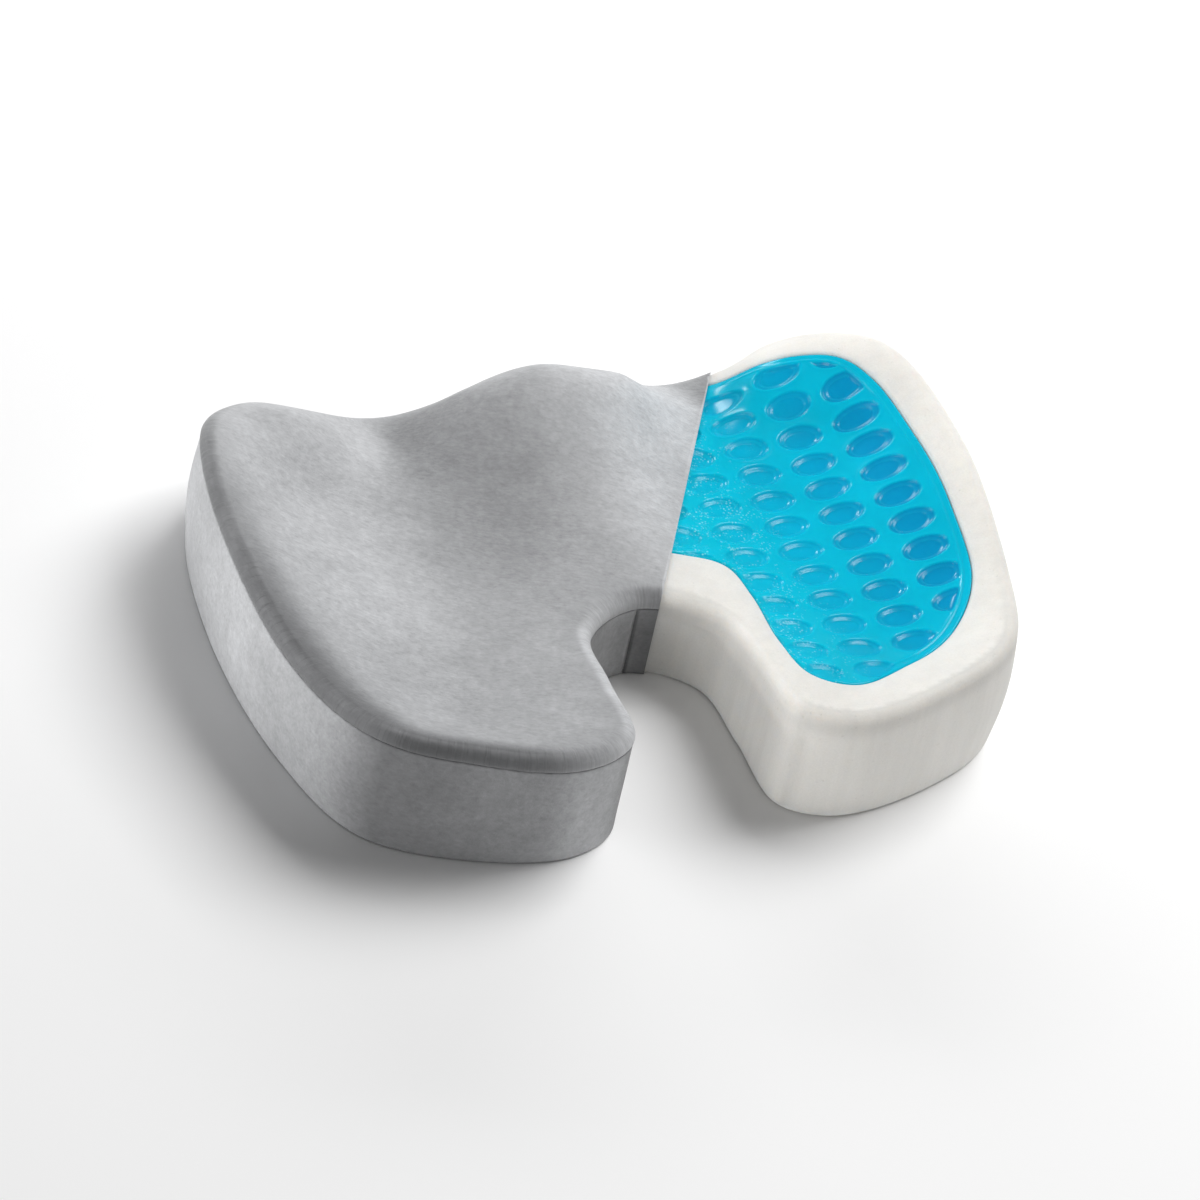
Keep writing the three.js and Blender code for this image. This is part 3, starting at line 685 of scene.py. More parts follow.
def cut_open(piece, cut_material):
    """Takes away what lies on the bare side of the cut, and closes the cloth's cut edge."""
    mesh = piece.data
    mesh.materials.append(cut_material)
    work = bmesh.new()
    work.from_mesh(mesh)
    ahead = [f for f in work.faces if f.calc_center_median().y > CUT_KEPT * MM]
    near = {*ahead, *[v for f in ahead for v in f.verts], *[e for f in ahead for e in f.edges]}
    across = (math.cos(CUT_ANGLE), -math.sin(CUT_ANGLE), 0)
    start = (CUT_X * MM, 0, 0)
    bmesh.ops.bisect_plane(work, geom=list(near), plane_co=start, plane_no=across, clear_outer=True)
    middles = [(f, f.calc_center_median()) for f in work.faces]
    behind = [f for f, middle in middles if middle.y <= CUT_KEPT * MM and middle.x > 0]
    bmesh.ops.delete(work, geom=behind, context="FACES")
    rim = [e for e in work.edges if e.is_boundary]
    filled = bmesh.ops.triangle_fill(work, use_beauty=True, edges=rim)
    for face in filled["geom"]:
        if isinstance(face, bmesh.types.BMFace):
            face.material_index = 1
    bmesh.ops.recalc_face_normals(work, faces=work.faces)
    work.to_mesh(mesh)
    work.free()
    shade(mesh, 50)


# A cloth edge that turns in at a seam: from the edge on, how far up and how far in.
TURNED_IN = [(0, 0.85), (0.12, 0.6), (0.45, 0.3), (1, 0.1), (1.8, 0)]


PLUMP = 0.9  # how far the top cloth puffs out beside its seam
PULL = 0.25  # and how far the stitches pull it in


def cover_top(material, cut_material):
    """Top cloth: over the top and the rounded edge, down to the seam, where it turns in."""
    wall = Wall(round_trip(760))
    skin = Skin()
    pull = PULL * bumps(np.column_stack([wall.x, wall.y, wall.x * 0]), 6, 3)

    def outside(turn):
        plump = PLUMP * math.sin(math.pi * min(1, 0.25 + turn)) ** 2
        fade = math.exp(-5 * turn)
        points = wall.edge(turn, 0)
        out = np.column_stack([-wall.inward, 0 * wall.x])
        _, rise = quarter(turn)
        lean = out * (1 - rise) + np.array([0, 0, 1]) * rise
        return points + lean * (plump * (1 - turn) + pull * fade)[:, None]

    def from_seam(up, depth):
        return wall.wall(wall.seam + up, depth - (0.3 + pull) * (up > 0))

    rings = [skin.add(from_seam(up, depth)) for up, depth in TURNED_IN[:-1]]
    rings += [skin.add(outside(turn)) for turn in np.linspace(0, 1, 13)]

    def lift(xy):
        flat = np.column_stack([xy, 0 * xy[:, 0]])
        edge = smooth((distance(xy, OUTLINE[::4]) - EDGE_RADIUS) / 12)
        return top_height(xy) + edge * (0.5 * bumps(flat, 50, 2) + 0.12 * bumps(flat, 8, 4))

    inner = [skin.add(wall.wall(wall.seam, CLOTH))]
    inner += [skin.add(wall.edge(turn, CLOTH)) for turn in QUARTERS[::-1]]
    skin.loft(rings)
    skin.loft([rings[0], inner[0]])
    skin.loft(inner, flip=True)
    skin.fill(rings[-1], spacing=3.2, lift=lift)
    skin.fill(inner[-1], spacing=9, up=False, lift=lambda xy: top_height(xy) - CLOTH)
    panel = skin.build("cover_top_velour", material)
    cut_open(panel, cut_material)
    name_pile_and_shade(panel)
    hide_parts("cover_top_panel")
    return panel


SLACK = 0.4  # how far the side cloth lies in and out, where it isn't quite tight
SLACK_WIDE = 42
ROLL = 0.9  # how far the end of a run of cloth turns in at an upright seam
HEM_HIGH = 7
HEM_THICK = 0.45  # how much thicker a hem is


def strip(far, low, high, rolls=(False, False), hem=(False, False), rows=22):
    """A run of the side cloth between two heights, as a closed shell. Its ends can turn in at a seam.
    A hem at its lower or upper edge is the cloth folded over, a little thicker."""
    wall = Wall(far)
    skin = Skin()
    run = far - far[0]
    left = run[-1] - run
    turn_in = ROLL * (rolls[0] * bell(run / ROLL) + rolls[1] * bell(left / ROLL))
    low, high = np.broadcast_to(low, wall.x.shape), np.broadcast_to(high, wall.x.shape)
    levels = [(low + up, depth) for up, depth in TURNED_IN]
    shares = np.linspace(0, 1, rows + 2)[1:-1]
    start, end = low + TURNED_IN[-1][0], high - TURNED_IN[-1][0]
    levels += [(start + (end - start) * share, 0) for share in shares]
    levels += [(high - up, depth) for up, depth in TURNED_IN[::-1]]

    def outside(z, depth):
        below, above = smooth((HEM_HIGH - z + low) / 1.2), smooth((HEM_HIGH + z - high) / 1.2)
        thick = HEM_THICK * (hem[0] * below + hem[1] * above)
        points = wall.wall(z, np.minimum(depth + turn_in, 0.95) - thick)
        loose = SLACK * bumps(points, SLACK_WIDE, 1) * smooth((z - low) / 12) * smooth((high - z) / 12)
        return points - np.column_stack([wall.inward, 0 * wall.x]) * loose[:, None]

    outer = [skin.add(outside(z, depth)) for z, depth in levels]
    inner = [skin.add(wall.wall(z, CLOTH)) for z, _ in levels]
    skin.shell(outer, inner)
    return skin


def run_of(start, end, step=2.4):
    """Distances along a run of cloth, closer together at its ends, where it may turn in."""
    close = [0, 0.25, 0.55, 0.9, 1.4, 2]
    even = np.linspace(start + 3, end - 3, int((end - start - 6) / step))
    return np.concatenate([start + np.array(close), even, end - np.array(close[::-1])])


def finish_cover(skin, name, stands_for, materials, cut=True):
    """The run of side cloth as a piece, cut off at the cover's cut, in its solid's place."""
    piece = skin.build(name, materials[0])
    if cut:
        cut_open(piece, materials[1])
    name_pile_and_shade(piece)
    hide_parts(stands_for)
    return piece


SIDE_FOOT = 0.35  # the side cloth reaches down past the base cloth's edge, which is sewn behind it


def cover_sides(materials):
    """The side bands and the two strips above and below the zip."""

    def wall_top(far):
        return Wall(far).seam - GAP

    notch = AROUND / 2
    past_cut = along(22, -46)  # in the notch, a little past the cut that trims the cloth
    corner = along(ZIP_LEFT, FRONT_Y)
    left = run_of(notch + GAP / 2, corner - GAP)
    right = run_of(past_cut, notch - GAP / 2)
    front = run_of(corner - AROUND, along(134, FRONT_Y))
    slot_low, slot_high = ZIP_MIDDLE - ZIP_SLOT / 2, ZIP_MIDDLE + ZIP_SLOT / 2
    runs = {
        "left": strip(left, SIDE_FOOT, wall_top(left), (True, True)),
        "right": strip(right, SIDE_FOOT, wall_top(right), (False, True)),
        "above": strip(front, slot_high, wall_top(front), (True, False), (True, False)),
        "below": strip(front, SIDE_FOOT, slot_low, (True, False), (False, True), rows=6),
    }
    return [
        finish_cover(runs["left"], "cover_side_left", "cover_band_left", materials, cut=False),
        finish_cover(runs["right"], "cover_side_right", "cover_band_right", materials),
        finish_cover(runs["above"], "zip_strip_above", "zip_strip_upper", materials),
        finish_cover(runs["below"], "zip_strip_below", "zip_strip_lower", materials),
    ]


# --- base cloth


DOT_PITCH = 13
DOT_RADIUS = 2.1
DOT_HIGH = 0.55


def cover_base(material, cut_material):
    """The base cloth, on its grip dots."""
    wall = Wall(round_trip(420))
    skin = Skin()
    edge = CLOTH + 0.25
    levels = [(0.6, DOT_HIGH), (0.15, DOT_HIGH + 0.1), (0, DOT_HIGH + 0.35), (0.3, CLOTH)]
    rings = [skin.add(wall.wall(z, edge + depth)) for depth, z in levels]
    skin.loft(rings)
    skin.fill(rings[0], spacing=8, up=False, lift=lambda xy: np.full(len(xy), DOT_HIGH))
    skin.fill(rings[-1], spacing=8, lift=lambda xy: np.full(len(xy), CLOTH))
    panel = skin.build("cover_base_cloth", material)
    cut_open(panel, cut_material)
    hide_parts("cover_base_panel")
    return panel


def grip_dots(material):
    """Low silicone dots printed under the base cloth, on which the cushion stands."""
    skin = Skin()
    centres = lattice(OUTLINE[::6], DOT_PITCH, clear=0.7)
    centres = centres[beside_cut(centres) < -DOT_PITCH / 2]
    turn = full_turn(14)
    profile = [(1, DOT_HIGH + 0.02), (0.97, 0.3), (0.8, 0.08), (0.5, 0)]
    for x, y in centres:
        rings = []
        for share, z in profile:
            r = DOT_RADIUS * share
            circle = np.column_stack([x + r * np.cos(-turn), y + r * np.sin(-turn), 0 * turn + z])
            rings.append(skin.add(circle))
        skin.tube(rings[::-1])
    dots = skin.build("base_grip_dots", material)
    return dots


# --- zip


TAPE_FACE = FRONT_Y - FOAM_DEPTH  # outer face of the tapes
TOOTH_PITCH = 1.5
TOOTH_WIDTH = 0.78
TOOTH_DEEP = 1.5
TOOTH_HALF = 1.6  # half its height, and how far its middle is from the zip's
TOOTH_OFF = 1.05
TEETH_INSET = 4
CORD_HALF = (0.95, 0.5, 0.38)  # half sizes of a bead of the cord that joins the teeth
CORD_OFF = 2.5
THREAD = 0.36  # thickness of the sewing thread
WHERE = {1: "upper", -1: "lower"}  # the zip's two sides, above and below its middle


def zip_tape(side, material):
    """Woven tape on one side of the zip's middle: flat, with a corded edge next to the teeth."""
    skin = Skin()
    x = np.arange(ZIP_LEFT, ZIP_RIGHT + 0.01, 1.6)
    heights = np.array([0.2, 0.35, 0.7, 1.1, 1.5, 2, 3, 4.4, 5, 6.6, 8, 8.35])
    cord = 0.18 * bell((heights - 0.7) / 0.4) + 0.08 * bell((heights - 4.7) / 0.5)

    def row(y, z):
        return skin.add(np.column_stack([x, 0 * x + y, 0 * x + ZIP_MIDDLE + side * z]))

    front = [row(TAPE_FACE - 0.25 + proud, z) for proud, z in zip(cord, heights)]
    back = [row(TAPE_FACE + 0.1 - ZIP_TAPE_THICK, z) for z in heights]
    skin.shell(front, back)
    where = WHERE[side]
    tape = skin.build(f"zip_tape_woven_{where}", material)
    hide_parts(f"zip_tape_{where}")
    return tape


BOXY = 2.6  # 2 gives a bead a round profile, more makes it boxier


def add_bead(skin, centre, half, tilt=0, segments=10, rings=5):
    """A rounded bar: half sizes along x, y and z, tilted in the wall."""
    turns = full_turn(segments)
    rows = []
    for share in np.linspace(-1, 1, rings + 2)[1:-1]:
        size = (1 - abs(share) ** BOXY) ** (1 / BOXY)
        x, y = half[0] * size * np.cos(turns), half[1] * size * np.sin(turns)
        circle = np.stack([x, y, 0 * turns + half[2] * share], 1)
        c, s = math.cos(tilt), math.sin(tilt)
        turned = circle @ np.array([[c, 0, -s], [0, 1, 0], [s, 0, c]])
        rows.append(skin.add(turned + np.array(centre)))
    skin.tube(rows)


def zip_coil(side, material):
    """Nylon teeth on one side: a row of rounded loops that reach past the middle between the others."""
    skin = Skin()
    start, end = ZIP_LEFT + TEETH_INSET + 0.6, ZIP_RIGHT - TEETH_INSET - 0.6
    y, z = TAPE_FACE + 0.4 + TOOTH_DEEP / 2, ZIP_MIDDLE + side * TOOTH_OFF
    for x in np.arange(start + (side > 0) * TOOTH_PITCH / 2, end, TOOTH_PITCH):
        add_bead(skin, (x, y, z), (TOOTH_WIDTH / 2, TOOTH_DEEP / 2, TOOTH_HALF), tilt=0.1 * side)
    y, z = TAPE_FACE + 0.75, ZIP_MIDDLE + side * CORD_OFF
    for x in np.arange(start, end, TOOTH_PITCH):
        add_bead(skin, (x, y, z), CORD_HALF, segments=8, rings=4)
    where = WHERE[side]
    coil = skin.build(f"zip_coil_{where}", material)
    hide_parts(f"zip_teeth_{where}")
    return coil


def stitched(name, points, inwards, material, length=2.7, pitch=3.3):
    """A row of stitches that lie on the cloth along a run of points."""
    skin = Skin()
    far = np.concatenate([[0], np.cumsum(np.linalg.norm(np.diff(points, axis=0), axis=1))])
    turns = full_turn(6)
    for begin in np.arange(1.5, far[-1] - pitch, pitch):
        rows = []
        for share in np.linspace(0, 1, 7):
            at = begin + length * share
            centre = np.array([np.interp(at, far, column) for column in points.T])
            ahead = np.array([np.interp(at + 0.4, far, column) for column in points.T]) - centre
            out = -np.array([np.interp(at, far, column) for column in inwards.T] + [0])
            arch = math.sin(math.pi * share)
            size = THREAD / 2 * (0.45 + 0.55 * arch)
            side = np.cross(ahead / np.linalg.norm(ahead), out)
            centre = centre + out * (THREAD * 0.6 * (arch - 0.4))
            circle = np.cos(turns)[:, None] * side + np.sin(turns)[:, None] * out
            rows.append(skin.add(centre + circle * size))
        skin.tube(rows)
    thread = skin.build(name, material)
    return thread


def zip_stitching(material):
    """One row of stitches along the folded edge of each strip beside the zip."""
    corner = along(ZIP_LEFT, FRONT_Y)
    far = np.arange(corner - AROUND + 2, along(120, FRONT_Y) - 2, 2.0)
    wall = Wall(far)
    rows = []
    for side, name in ((1, "zip_stitches_above"), (-1, "zip_stitches_below")):
        z = ZIP_MIDDLE + side * (ZIP_SLOT / 2 + 2.2)
        rows.append(stitched(name, wall.wall(z, -0.5), wall.inward, material))
    return rows


def rounded_metal(names, material):
    """CAD pieces whose shape is right: their edges are eased and they get a better metal."""
    for name in names:
        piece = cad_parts[name]
        piece.data.materials.clear()
        piece.data.materials.append(material)
        ease = piece.modifiers.new("eased_edges", "BEVEL")
        ease.width = 0.22 * MM
        ease.segments = 3
        ease.limit_method = "ANGLE"
        ease.angle_limit = math.radians(35)
        ease.harden_normals = True


# --- materials


MOST = (0.3, 0.7)  # most of a noise lies in this range


class Look:
    """A material's node tree, built a node at a time. Inputs are numbers, colours or other outputs."""

    def __init__(self, name):
        self.material = bpy.data.materials.new(name)
        self.material.use_nodes = True
        self.tree = self.material.node_tree
        self.shader = self.tree.nodes["Principled BSDF"]
        self.place = self.node("ShaderNodeTexCoord").outputs["Object"]

    def node(self, kind, inputs=None, **settings):
        made = self.tree.nodes.new(kind)
        for name, value in settings.items():
            setattr(made, name, value)
        for key, value in (inputs or {}).items():
            self.put(made.inputs[key], value)
        return made

    def put(self, socket, value):
        if isinstance(value, bpy.types.NodeSocket):
            self.tree.links.new(value, socket)
        else:
            socket.default_value = value

    def finish(self, base, tone, **values):
        """The material: its colour times a tone, and the shader's inputs, an underscore for a space."""
        values["Base_Color"] = self.scaled(base, tone)
        for name, value in values.items():
            self.put(self.shader.inputs[name.replace("_", " ")], value)
        return self.material

    def math(self, operation, a, b=0.0):
        return self.node("ShaderNodeMath", {0: a, 1: b}, operation=operation).outputs[0]

    def times(self, product, *factors):
        for factor in factors:
            product = self.math("MULTIPLY", product, factor)
        return product

    def less(self, value):
        """What the value leaves of 1."""
        return self.math("SUBTRACT", 1.0, value)

    def blend(self, share, a, b):
        """Number a, turning into b as the share goes from 0 to 1."""
        return self.math("ADD", self.times(a, self.less(share)), self.times(b, share))

    def value(self, name):
        """A named value kept on the mesh's points."""
        return self.node("ShaderNodeAttribute", attribute_name=name).outputs["Fac"]

    def noise(self, scale, detail=2.0, rough=0.5, stretch=None, place=None, distort=0.0):
        place = place or self.place
        if stretch:
            size, turn = stretch
            mapping = {"Vector": place, "Scale": size, "Rotation": (0, 0, math.radians(turn))}
            place = self.node("ShaderNodeMapping", mapping, vector_type="TEXTURE").outputs[0]
        inputs = {"Vector": place, "Scale": scale, "Detail": detail, "Roughness": rough}
        return self.node("ShaderNodeTexNoise", inputs | {"Distortion": distort}).outputs["Fac"]

    def dots(self, scale):
        """Distance to the nearest of many scattered points."""
        inputs = {"Vector": self.place, "Scale": scale}
        return self.node("ShaderNodeTexVoronoi", inputs).outputs["Distance"]

    def spread(self, value, low, high, to_low=0.0, to_high=1.0, kind="SMOOTHSTEP"):
        inputs = {"Value": value, "From Min": low, "From Max": high, "To Min": to_low, "To Max": to_high}
        return self.node("ShaderNodeMapRange", inputs, interpolation_type=kind).outputs[0]

    def mix(self, share, a, b, kind="MIX"):
        """Colour a, turning into b as the share goes from 0 to 1."""
        made = self.node("ShaderNodeMix", {0: share, 6: a, 7: b}, data_type="RGBA", blend_type=kind)
        return made.outputs[2]

    def scaled(self, color, factor):
        """A colour times a number that varies over the surface."""
        grey = self.node("ShaderNodeCombineColor", {"Red": factor, "Green": factor, "Blue": factor})
        return self.mix(1.0, color, grey.outputs[0], "MULTIPLY")

    def bump(self, height, distance, strength=1.0, before=None):
        inputs = {"Height": height, "Distance": distance, "Strength": strength}
        if before:
            inputs["Normal"] = before
        return self.node("ShaderNodeBump", inputs).outputs["Normal"]


def colour(red, green, blue):
    """A colour from its sRGB values, 0 to 255."""
    shares = [c / 255 for c in (red, green, blue)]
    return (*[c / 12.92 if c <= 0.04045 else ((c + 0.055) / 1.055) ** 2.4 for c in shares], 1.0)


def velour(name, base, on_top):
    """Short brushed pile: soft patches and fine hair, with painted shade that turns with the way the
    surface faces, along the edges and beside the seam.
    """
    look = Look(name)
    patches = look.noise(13, 3, 0.5)
    brushed = look.noise(60, 3, 0.6, stretch=((1.5, 0.8, 1.2), -35), distort=0.5)
    hair = look.noise(520, 3, 0.65, stretch=((2.2, 0.8, 1), -28))
    fluff = look.noise(210, 4, 0.65)
    fine = look.blend(0.5, hair, fluff)
    tone = look.times(look.spread(patches, *MOST, 0.9, 1.08), look.spread(brushed, 0.25, 0.75, 0.95, 1.05))
    contrast = 0.9
    if on_top:
        edge = look.value("edge")
        across = {"X": look.times(look.value("around"), 0.7), "Y": look.times(look.value("inset"), 0.12)}
        streaks = look.noise(0.9, 4, 0.7, place=look.node("ShaderNodeCombineXYZ", across).outputs[0])
        fine = look.blend(look.times(edge, 0.8), fine, streaks)
        contrast = look.math("ADD", contrast, look.times(edge, 0.1))
        # Painted shade: the rounded edge is darker where it faces one way.
        edge_nap_shade = look.spread(look.value("nap_shade"), 0.05, 0.85)
        # Painted shade in a band along the left and rear edge.
        shade_band = look.times(look.value("shade_band"), look.spread(patches, 0.25, 0.6, 0.58, 0.7))
        # Painted shade and light on the top's slopes, by the way they face.
        slope_shade = look.spread(look.value("lean"), 0.05, 0.75, 1.25, 0.68)
        tone = look.times(tone, look.less(look.times(edge, edge_nap_shade, 0.4)), look.less(shade_band), slope_shade)
    else:
        # Painted shade on the side cloth, by the way its wall faces.
        tone = look.times(tone, look.value("side_shade"))
    # Painted shade beside the seam.
    seam = look.less(look.times(look.value("seam"), 0.6))
    grain = look.math("ADD", 1.0, look.times(look.math("SUBTRACT", fine, 0.5), contrast))
    return look.finish(
        base,
        look.times(tone, seam, grain),
        Roughness=look.spread(fine, *MOST, 0.86, 1.0),
        Normal=look.bump(brushed, 0.003, 0.2, look.bump(fine, 0.0013, 0.6)),
        Sheen_Weight=0.22,
        Sheen_Roughness=0.35,
        Specular_IOR_Level=0.12,
    )


def cloth_section(name):
    """The cut edge of the cover: knit backing and the roots of the pile."""
    look = Look(name)
    fibres = look.noise(1500, 3, 0.7)
    tone = look.spread(fibres, *MOST, 0.75, 1.15)
    normal = look.bump(fibres, 0.0004, 0.6)
    return look.finish(colour(205, 205, 206), tone, Roughness=0.95, Normal=normal, Specular_IOR_Level=0.1)


def foam(name):
    """Moulded memory foam: off-white, matt, with fine cells and a few larger ones."""
    look = Look(name)
    cells = look.noise(900, 3, 0.6)
    plain = look.less(look.spread(look.noise(60, 2), 0.5, 0.62))  # where there are no larger cells
    pits = look.math("MAXIMUM", look.spread(look.dots(260), 0.05, 0.22), plain)
    tone = look.times(
        look.spread(look.noise(16, 4, 0.55), *MOST, 0.965, 1.02),
        look.spread(cells, *MOST, 0.975, 1.02),
        look.spread(pits, 0, 1, 0.94, 1),
        look.spread(look.noise(110, 3, 0.6, stretch=((1, 1, 16), 0)), *MOST, 0.965, 1.01),
        # Painted shade: a band below the rounded edge is darker, and so are the walls that face the rear.
        look.spread(look.value("pressed"), 0, 1, 1, 0.86, "LINEAR"),
        look.spread(look.value("rear"), 0, 1, 1, 0.87, "LINEAR"),
    )
    normal = look.bump(pits, 0.0008, 0.35, look.bump(cells, 0.0006, 0.35))
    return look.finish(
        colour(236, 234, 229),
        tone,
        Roughness=look.spread(cells, *MOST, 0.78, 0.92),
        Normal=look.bump(look.noise(70, 3), 0.002, 0.2, normal),
        Specular_IOR_Level=0.2,
        Subsurface_Weight=0.6,
        Subsurface_Radius=(1.0, 0.85, 0.7),
        Subsurface_Scale=0.012,
    )


def gel(name):
    """Clear blue gel: deep cyan, with painted shade in the pockets and a painted highlight on their second
    step, and painted light towards the middle, where tiny bubbles carry painted glints.
    """
    look = Look(name)
    pocket = look.value("pocket")
    x = look.node("ShaderNodeSeparateXYZ", {"Vector": look.place}).outputs["X"]
    # Painted light: the gel is lighter towards the middle.
    middle = look.spread(x, 0.12, 0.05)
    # Painted shade in the pockets, darker towards the +X edge.
    pocket_shade = look.mix(look.spread(x, 0.185, 0.1), colour(0, 150, 198), colour(0, 178, 214))
    # Painted highlight: a lighter line along the pockets' second step.
    step = look.times(look.spread(pocket, 0.5, 0.8), look.spread(pocket, 1.0, 0.8))
    bubbles = look.spread(look.dots(560), 0.1, 0.5)
    # Pale specks towards the middle: tiny bubbles, and painted glints in their colour.
    specks_and_glints = look.times(middle, look.spread(look.noise(110, 3, 0.6), 0.45, 0.62))
    # Painted shade in the pockets.
    base = look.mix(look.spread(pocket, 0.0, 0.6), colour(0, 186, 216), pocket_shade)
    # Painted highlight on the pockets' second step.
    base = look.mix(look.times(step, 0.22), base, colour(30, 190, 222))
    # Painted light towards the middle.
    base = look.mix(look.times(middle, 0.6), base, colour(0, 206, 232))
    # Painted glints at the bubbles towards the middle.
    base = look.mix(look.times(specks_and_glints, look.spread(bubbles, 0.85, 0.1), 0.8), base, colour(150, 235, 248))
    normal = look.bump(look.times(bubbles, specks_and_glints), 0.0006, 0.3)
    return look.finish(
        base,
        look.spread(look.noise(40, 3, 0.55), *MOST, 0.96, 1.04),
        Roughness=look.spread(specks_and_glints, 0, 1, 0.2, 0.3),
        Normal=look.bump(look.noise(150, 2), 0.0012, 0.12, normal),
        IOR=1.4,
        Specular_IOR_Level=0.24,
        Subsurface_Weight=0.35,
        Subsurface_Radius=(0.1, 0.7, 1.0),
        Subsurface_Scale=0.004,
        Coat_Weight=0.05,
        Coat_Roughness=0.08,
    )


def woven(name, base, threads=1100):
    """A plain weave with that many threads to the metre, over and under, with some fuzz."""
    look = Look(name)
    split = look.node("ShaderNodeSeparateXYZ", {"Vector": look.place})
    across = look.math("SINE", look.times(split.outputs["X"], threads * math.pi))
    depth = look.math("ADD", split.outputs["Y"], split.outputs["Z"])
    weave = look.spread(look.times(across, look.math("SINE", look.times(depth, threads * math.pi))), -1, 1)
    fuzz = look.noise(700, 3, 0.6)
    return look.finish(
        base,
        look.times(look.spread(weave, 0, 1, 0.78, 1.1), look.spread(fuzz, *MOST, 0.9, 1.1)),
        Roughness=look.spread(weave, 0, 1, 0.92, 0.78),
        Normal=look.bump(look.math("ADD", weave, look.times(fuzz, 0.4)), 0.0003, 0.6),
        Sheen_Weight=0.15,
        Specular_IOR_Level=0.2,
    )


def moulded(name, base, roughness):
    """Nylon or silicone: slightly uneven, with a soft gloss."""
    look = Look(name)
    grain = look.noise(900, 3, 0.6)
    return look.finish(
        base,
        look.spread(grain, *MOST, 0.92, 1.06),
        Roughness=look.spread(grain, *MOST, roughness - 0.06, roughness + 0.08),
        Normal=look.bump(grain, 0.0002, 0.3),
    )


def nickel(name):
    """Plated metal, finely brushed and slightly worn."""
    look = Look(name)
    brushed = look.noise(1400, 3, 0.6, stretch=((8, 1, 1), 0))
    wear = look.noise(160, 4, 0.65)
    dulled = look.spread(wear, 0.5, 0.7, 0, 0.12)
    return look.finish(
        colour(200, 201, 204),
        look.times(look.spread(brushed, *MOST, 0.93, 1.04), look.spread(wear, 0.35, 0.65, 0.9, 1.03)),
        Metallic=1.0,
        Roughness=look.math("ADD", look.spread(brushed, *MOST, 0.2, 0.32), dulled),
        Normal=look.bump(brushed, 0.0001, 0.25),
    )


def floor_look(name):
    """A plain pale floor."""
    look = Look(name)
    tone = look.spread(look.noise(3, 2), *MOST, 0.995, 1.0)
    return look.finish((0.96, 0.96, 0.96, 1.0), tone, Roughness=0.9, Specular_IOR_Level=0.1)


# --- camera, floor and lights


TARGET = Vector((-7.31, -6.45, 30)) * MM
CAMERA_AZIMUTH = -28.59  # degrees; 0 looks along +Y
CAMERA_HEIGHT = 41.93  # degrees above the horizon
CAMERA_ROLL = 12.63
CAMERA_DISTANCE = 2.9095
CAMERA_LENS = 156.4


def direction(azimuth, height):
    """The unit vector towards the viewer at that azimuth and height, in degrees."""
    a, e = math.radians(azimuth), math.radians(height)
    return Vector((math.sin(a) * math.cos(e), -math.cos(a) * math.cos(e), math.sin(e)))


def make_camera():
    data = bpy.data.cameras.new("camera")
    data.lens = CAMERA_LENS
    data.sensor_width = 36
    data.clip_start = 0.05
    data.clip_end = 50
    camera = bpy.data.objects.new("camera", data)
    bpy.context.scene.collection.objects.link(camera)
    back = direction(CAMERA_AZIMUTH, CAMERA_HEIGHT)
    right = direction(CAMERA_AZIMUTH + 90, 0)
    turn = Matrix((right, back.cross(right), back)).transposed().to_4x4()
    turn @= Matrix.Rotation(math.radians(CAMERA_ROLL), 4, "Z")
    camera.matrix_world = Matrix.Translation(TARGET + back * CAMERA_DISTANCE) @ turn
    bpy.context.scene.camera = camera


def make_floor():
    skin = Skin()
    rings = []
    turn = -full_turn(64)
    for radius in (6000, 2500, 1000, 400):
        rings.append(skin.add(np.column_stack([radius * np.cos(turn), radius * np.sin(turn), 0 * turn])))
    skin.loft(rings)
    skin.faces.append(tuple(rings[-1].tolist()))
    floor = skin.build("studio_floor", floor_look("floor_paint"))
    if floor.data.polygons[0].normal.z < 0:
        floor.data.flip_normals()
    return floor


def softbox(name, towards, away, size, power, lit=None, aim=(0, 0, 0.04)):
    """An area light. One with a collection as lit is flagged off everything else."""
    data = bpy.data.lights.new(name, "AREA")
    data.shape = "RECTANGLE"
    data.size, data.size_y = size
    data.energy = power
    light = bpy.data.objects.new(name, data)
    bpy.context.scene.collection.objects.link(light)
    light.location = Vector(aim) + towards * away
    if lit:
        light.light_linking.receiver_collection = lit
    light.rotation_mode = "QUATERNION"
    light.rotation_quaternion = towards.to_track_quat("Z", "Y")
    return light


def lit_group(name, pieces):
    group = bpy.data.collections.new(name)
    for piece in pieces:
        group.objects.link(piece)
    return group


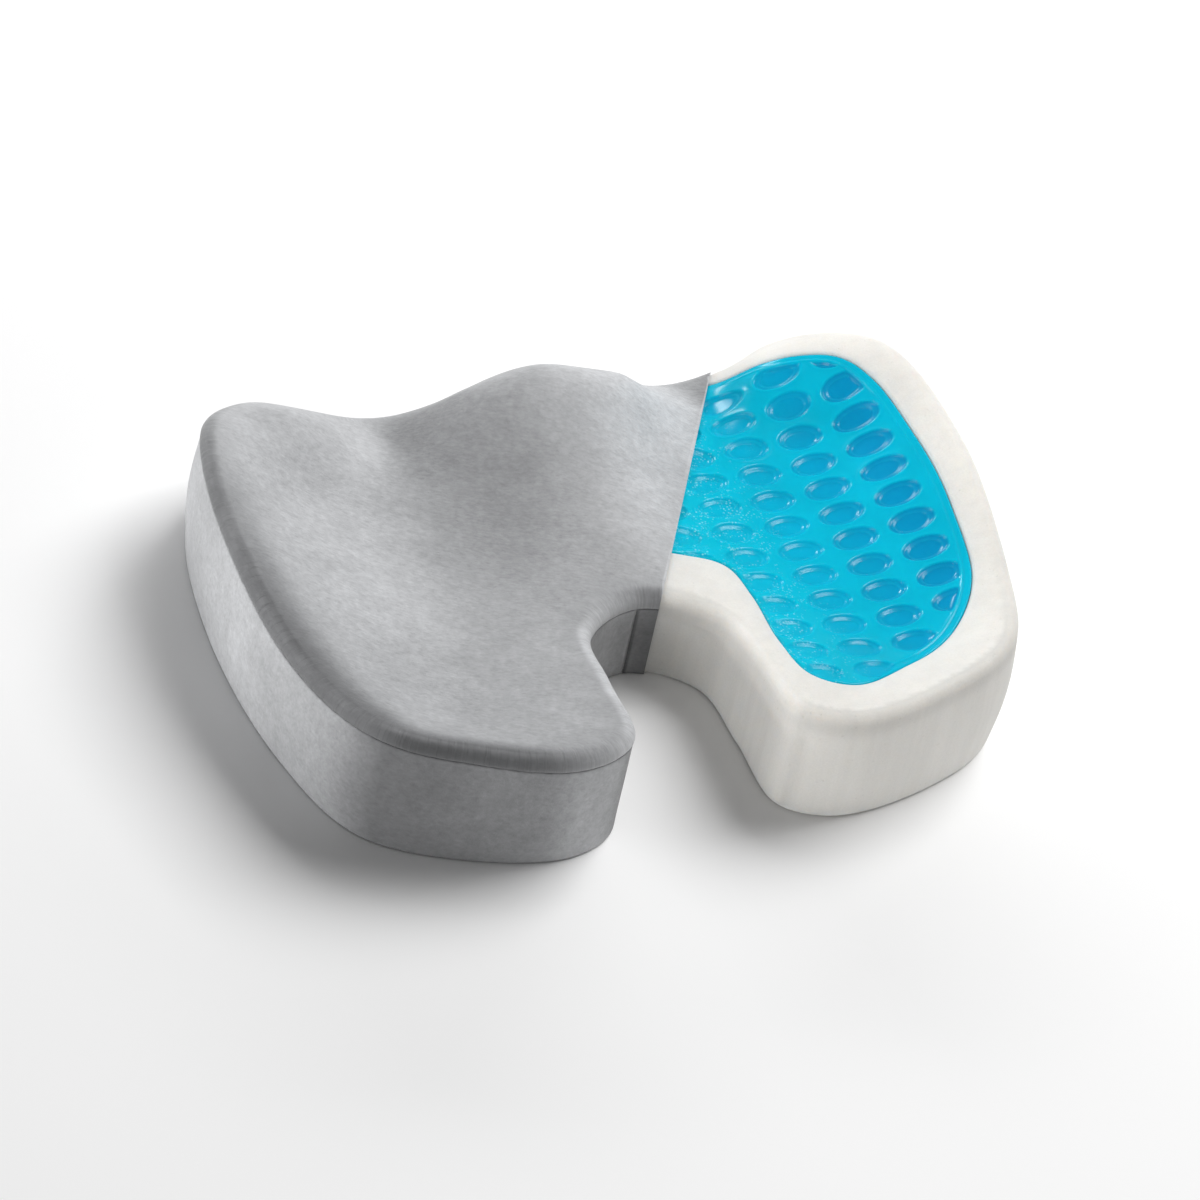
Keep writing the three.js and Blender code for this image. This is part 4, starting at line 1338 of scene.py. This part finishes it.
def make_lights(floor, gel_piece):
    """A key and fills for the cushion, a lower key for the floor, a strip for both, a glint on the gel."""
    on_floor = lit_group("lit_floor", [floor])
    on_cushion = lit_group("lit_cushion", [o for o in bpy.data.objects if o.type == "MESH" and o != floor])
    softbox("key", direction(108, 62), 4.0, (1.7, 1.7), 88, on_cushion)
    softbox("key_floor", direction(112, 53), 5.0, (3.1, 3.1), 252, on_floor)
    softbox("fill_left", direction(-88, 9), 2.8, (1.8, 0.5), 31, on_cushion)
    softbox("fill_high", direction(-100, 46), 3.0, (1.2, 1.2), 13, on_cushion)
    softbox("fill_rear", direction(-40, 17), 2.8, (1.2, 0.6), 17, on_cushion)
    softbox("fill_right", direction(48, 14), 2.8, (1.2, 0.6), 7, on_cushion)
    glint = softbox("glint", direction(-170, 28), 2.4, (0.6, 0.3), 11, lit_group("lit_gel", [gel_piece]))
    glint.visible_diffuse = False
    strip_light = softbox("back_strip", direction(160, 22), 2.4, (2.4, 0.45), 25)
    strip_light.visible_glossy = False
    world = bpy.data.worlds.new("studio")
    world.use_nodes = True
    sky = world.node_tree.nodes["Background"].inputs
    sky["Color"].default_value = (1, 1, 1, 1)
    sky["Strength"].default_value = 0.18
    scene = bpy.context.scene
    scene.world = world
    scene.view_settings.view_transform = "Standard"


# --- the assembly


def build_cushion():
    make_camera()
    # The top and side cloth are one velour; the top's colour is set a little darker, as painted shade.
    top_cloth = velour("velour_top", colour(182, 183, 185), on_top=True)
    side_cloth = velour("velour_side", colour(190, 191, 193), on_top=False)
    section = cloth_section("velour_cut_edge")
    base_cloth = woven("base_weave", colour(74, 75, 78))
    tape = woven("zip_tape_weave", colour(140, 141, 144), 1600)
    nylon = moulded("zip_nylon", colour(118, 119, 122), 0.42)
    thread = woven("sewing_thread", colour(150, 151, 154), 2600)
    foam_piece = foam_block(foam("memory_foam"))
    gel_piece = gel_pad(gel("blue_gel"))
    top = cover_top(top_cloth, section)
    sides = cover_sides([side_cloth, section])
    base = cover_base(base_cloth, section)
    dots = grip_dots(moulded("grip_silicone", colour(58, 59, 62), 0.5))
    tapes = [zip_tape(side, tape) for side in (1, -1)]
    coils = [zip_coil(side, nylon) for side in (1, -1)]
    stitches = zip_stitching(thread)
    metal = ["zip_slider", "zip_pull_tab", "zip_stop_closed_end", "zip_stop_open_end"]
    rounded_metal(metal, nickel("zip_metal"))
    for piece in [foam_piece, gel_piece, top, *sides, base, dots, *tapes, *coils, *stitches]:
        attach(piece, "cushion")
    make_lights(make_floor(), gel_piece)


build_cushion()
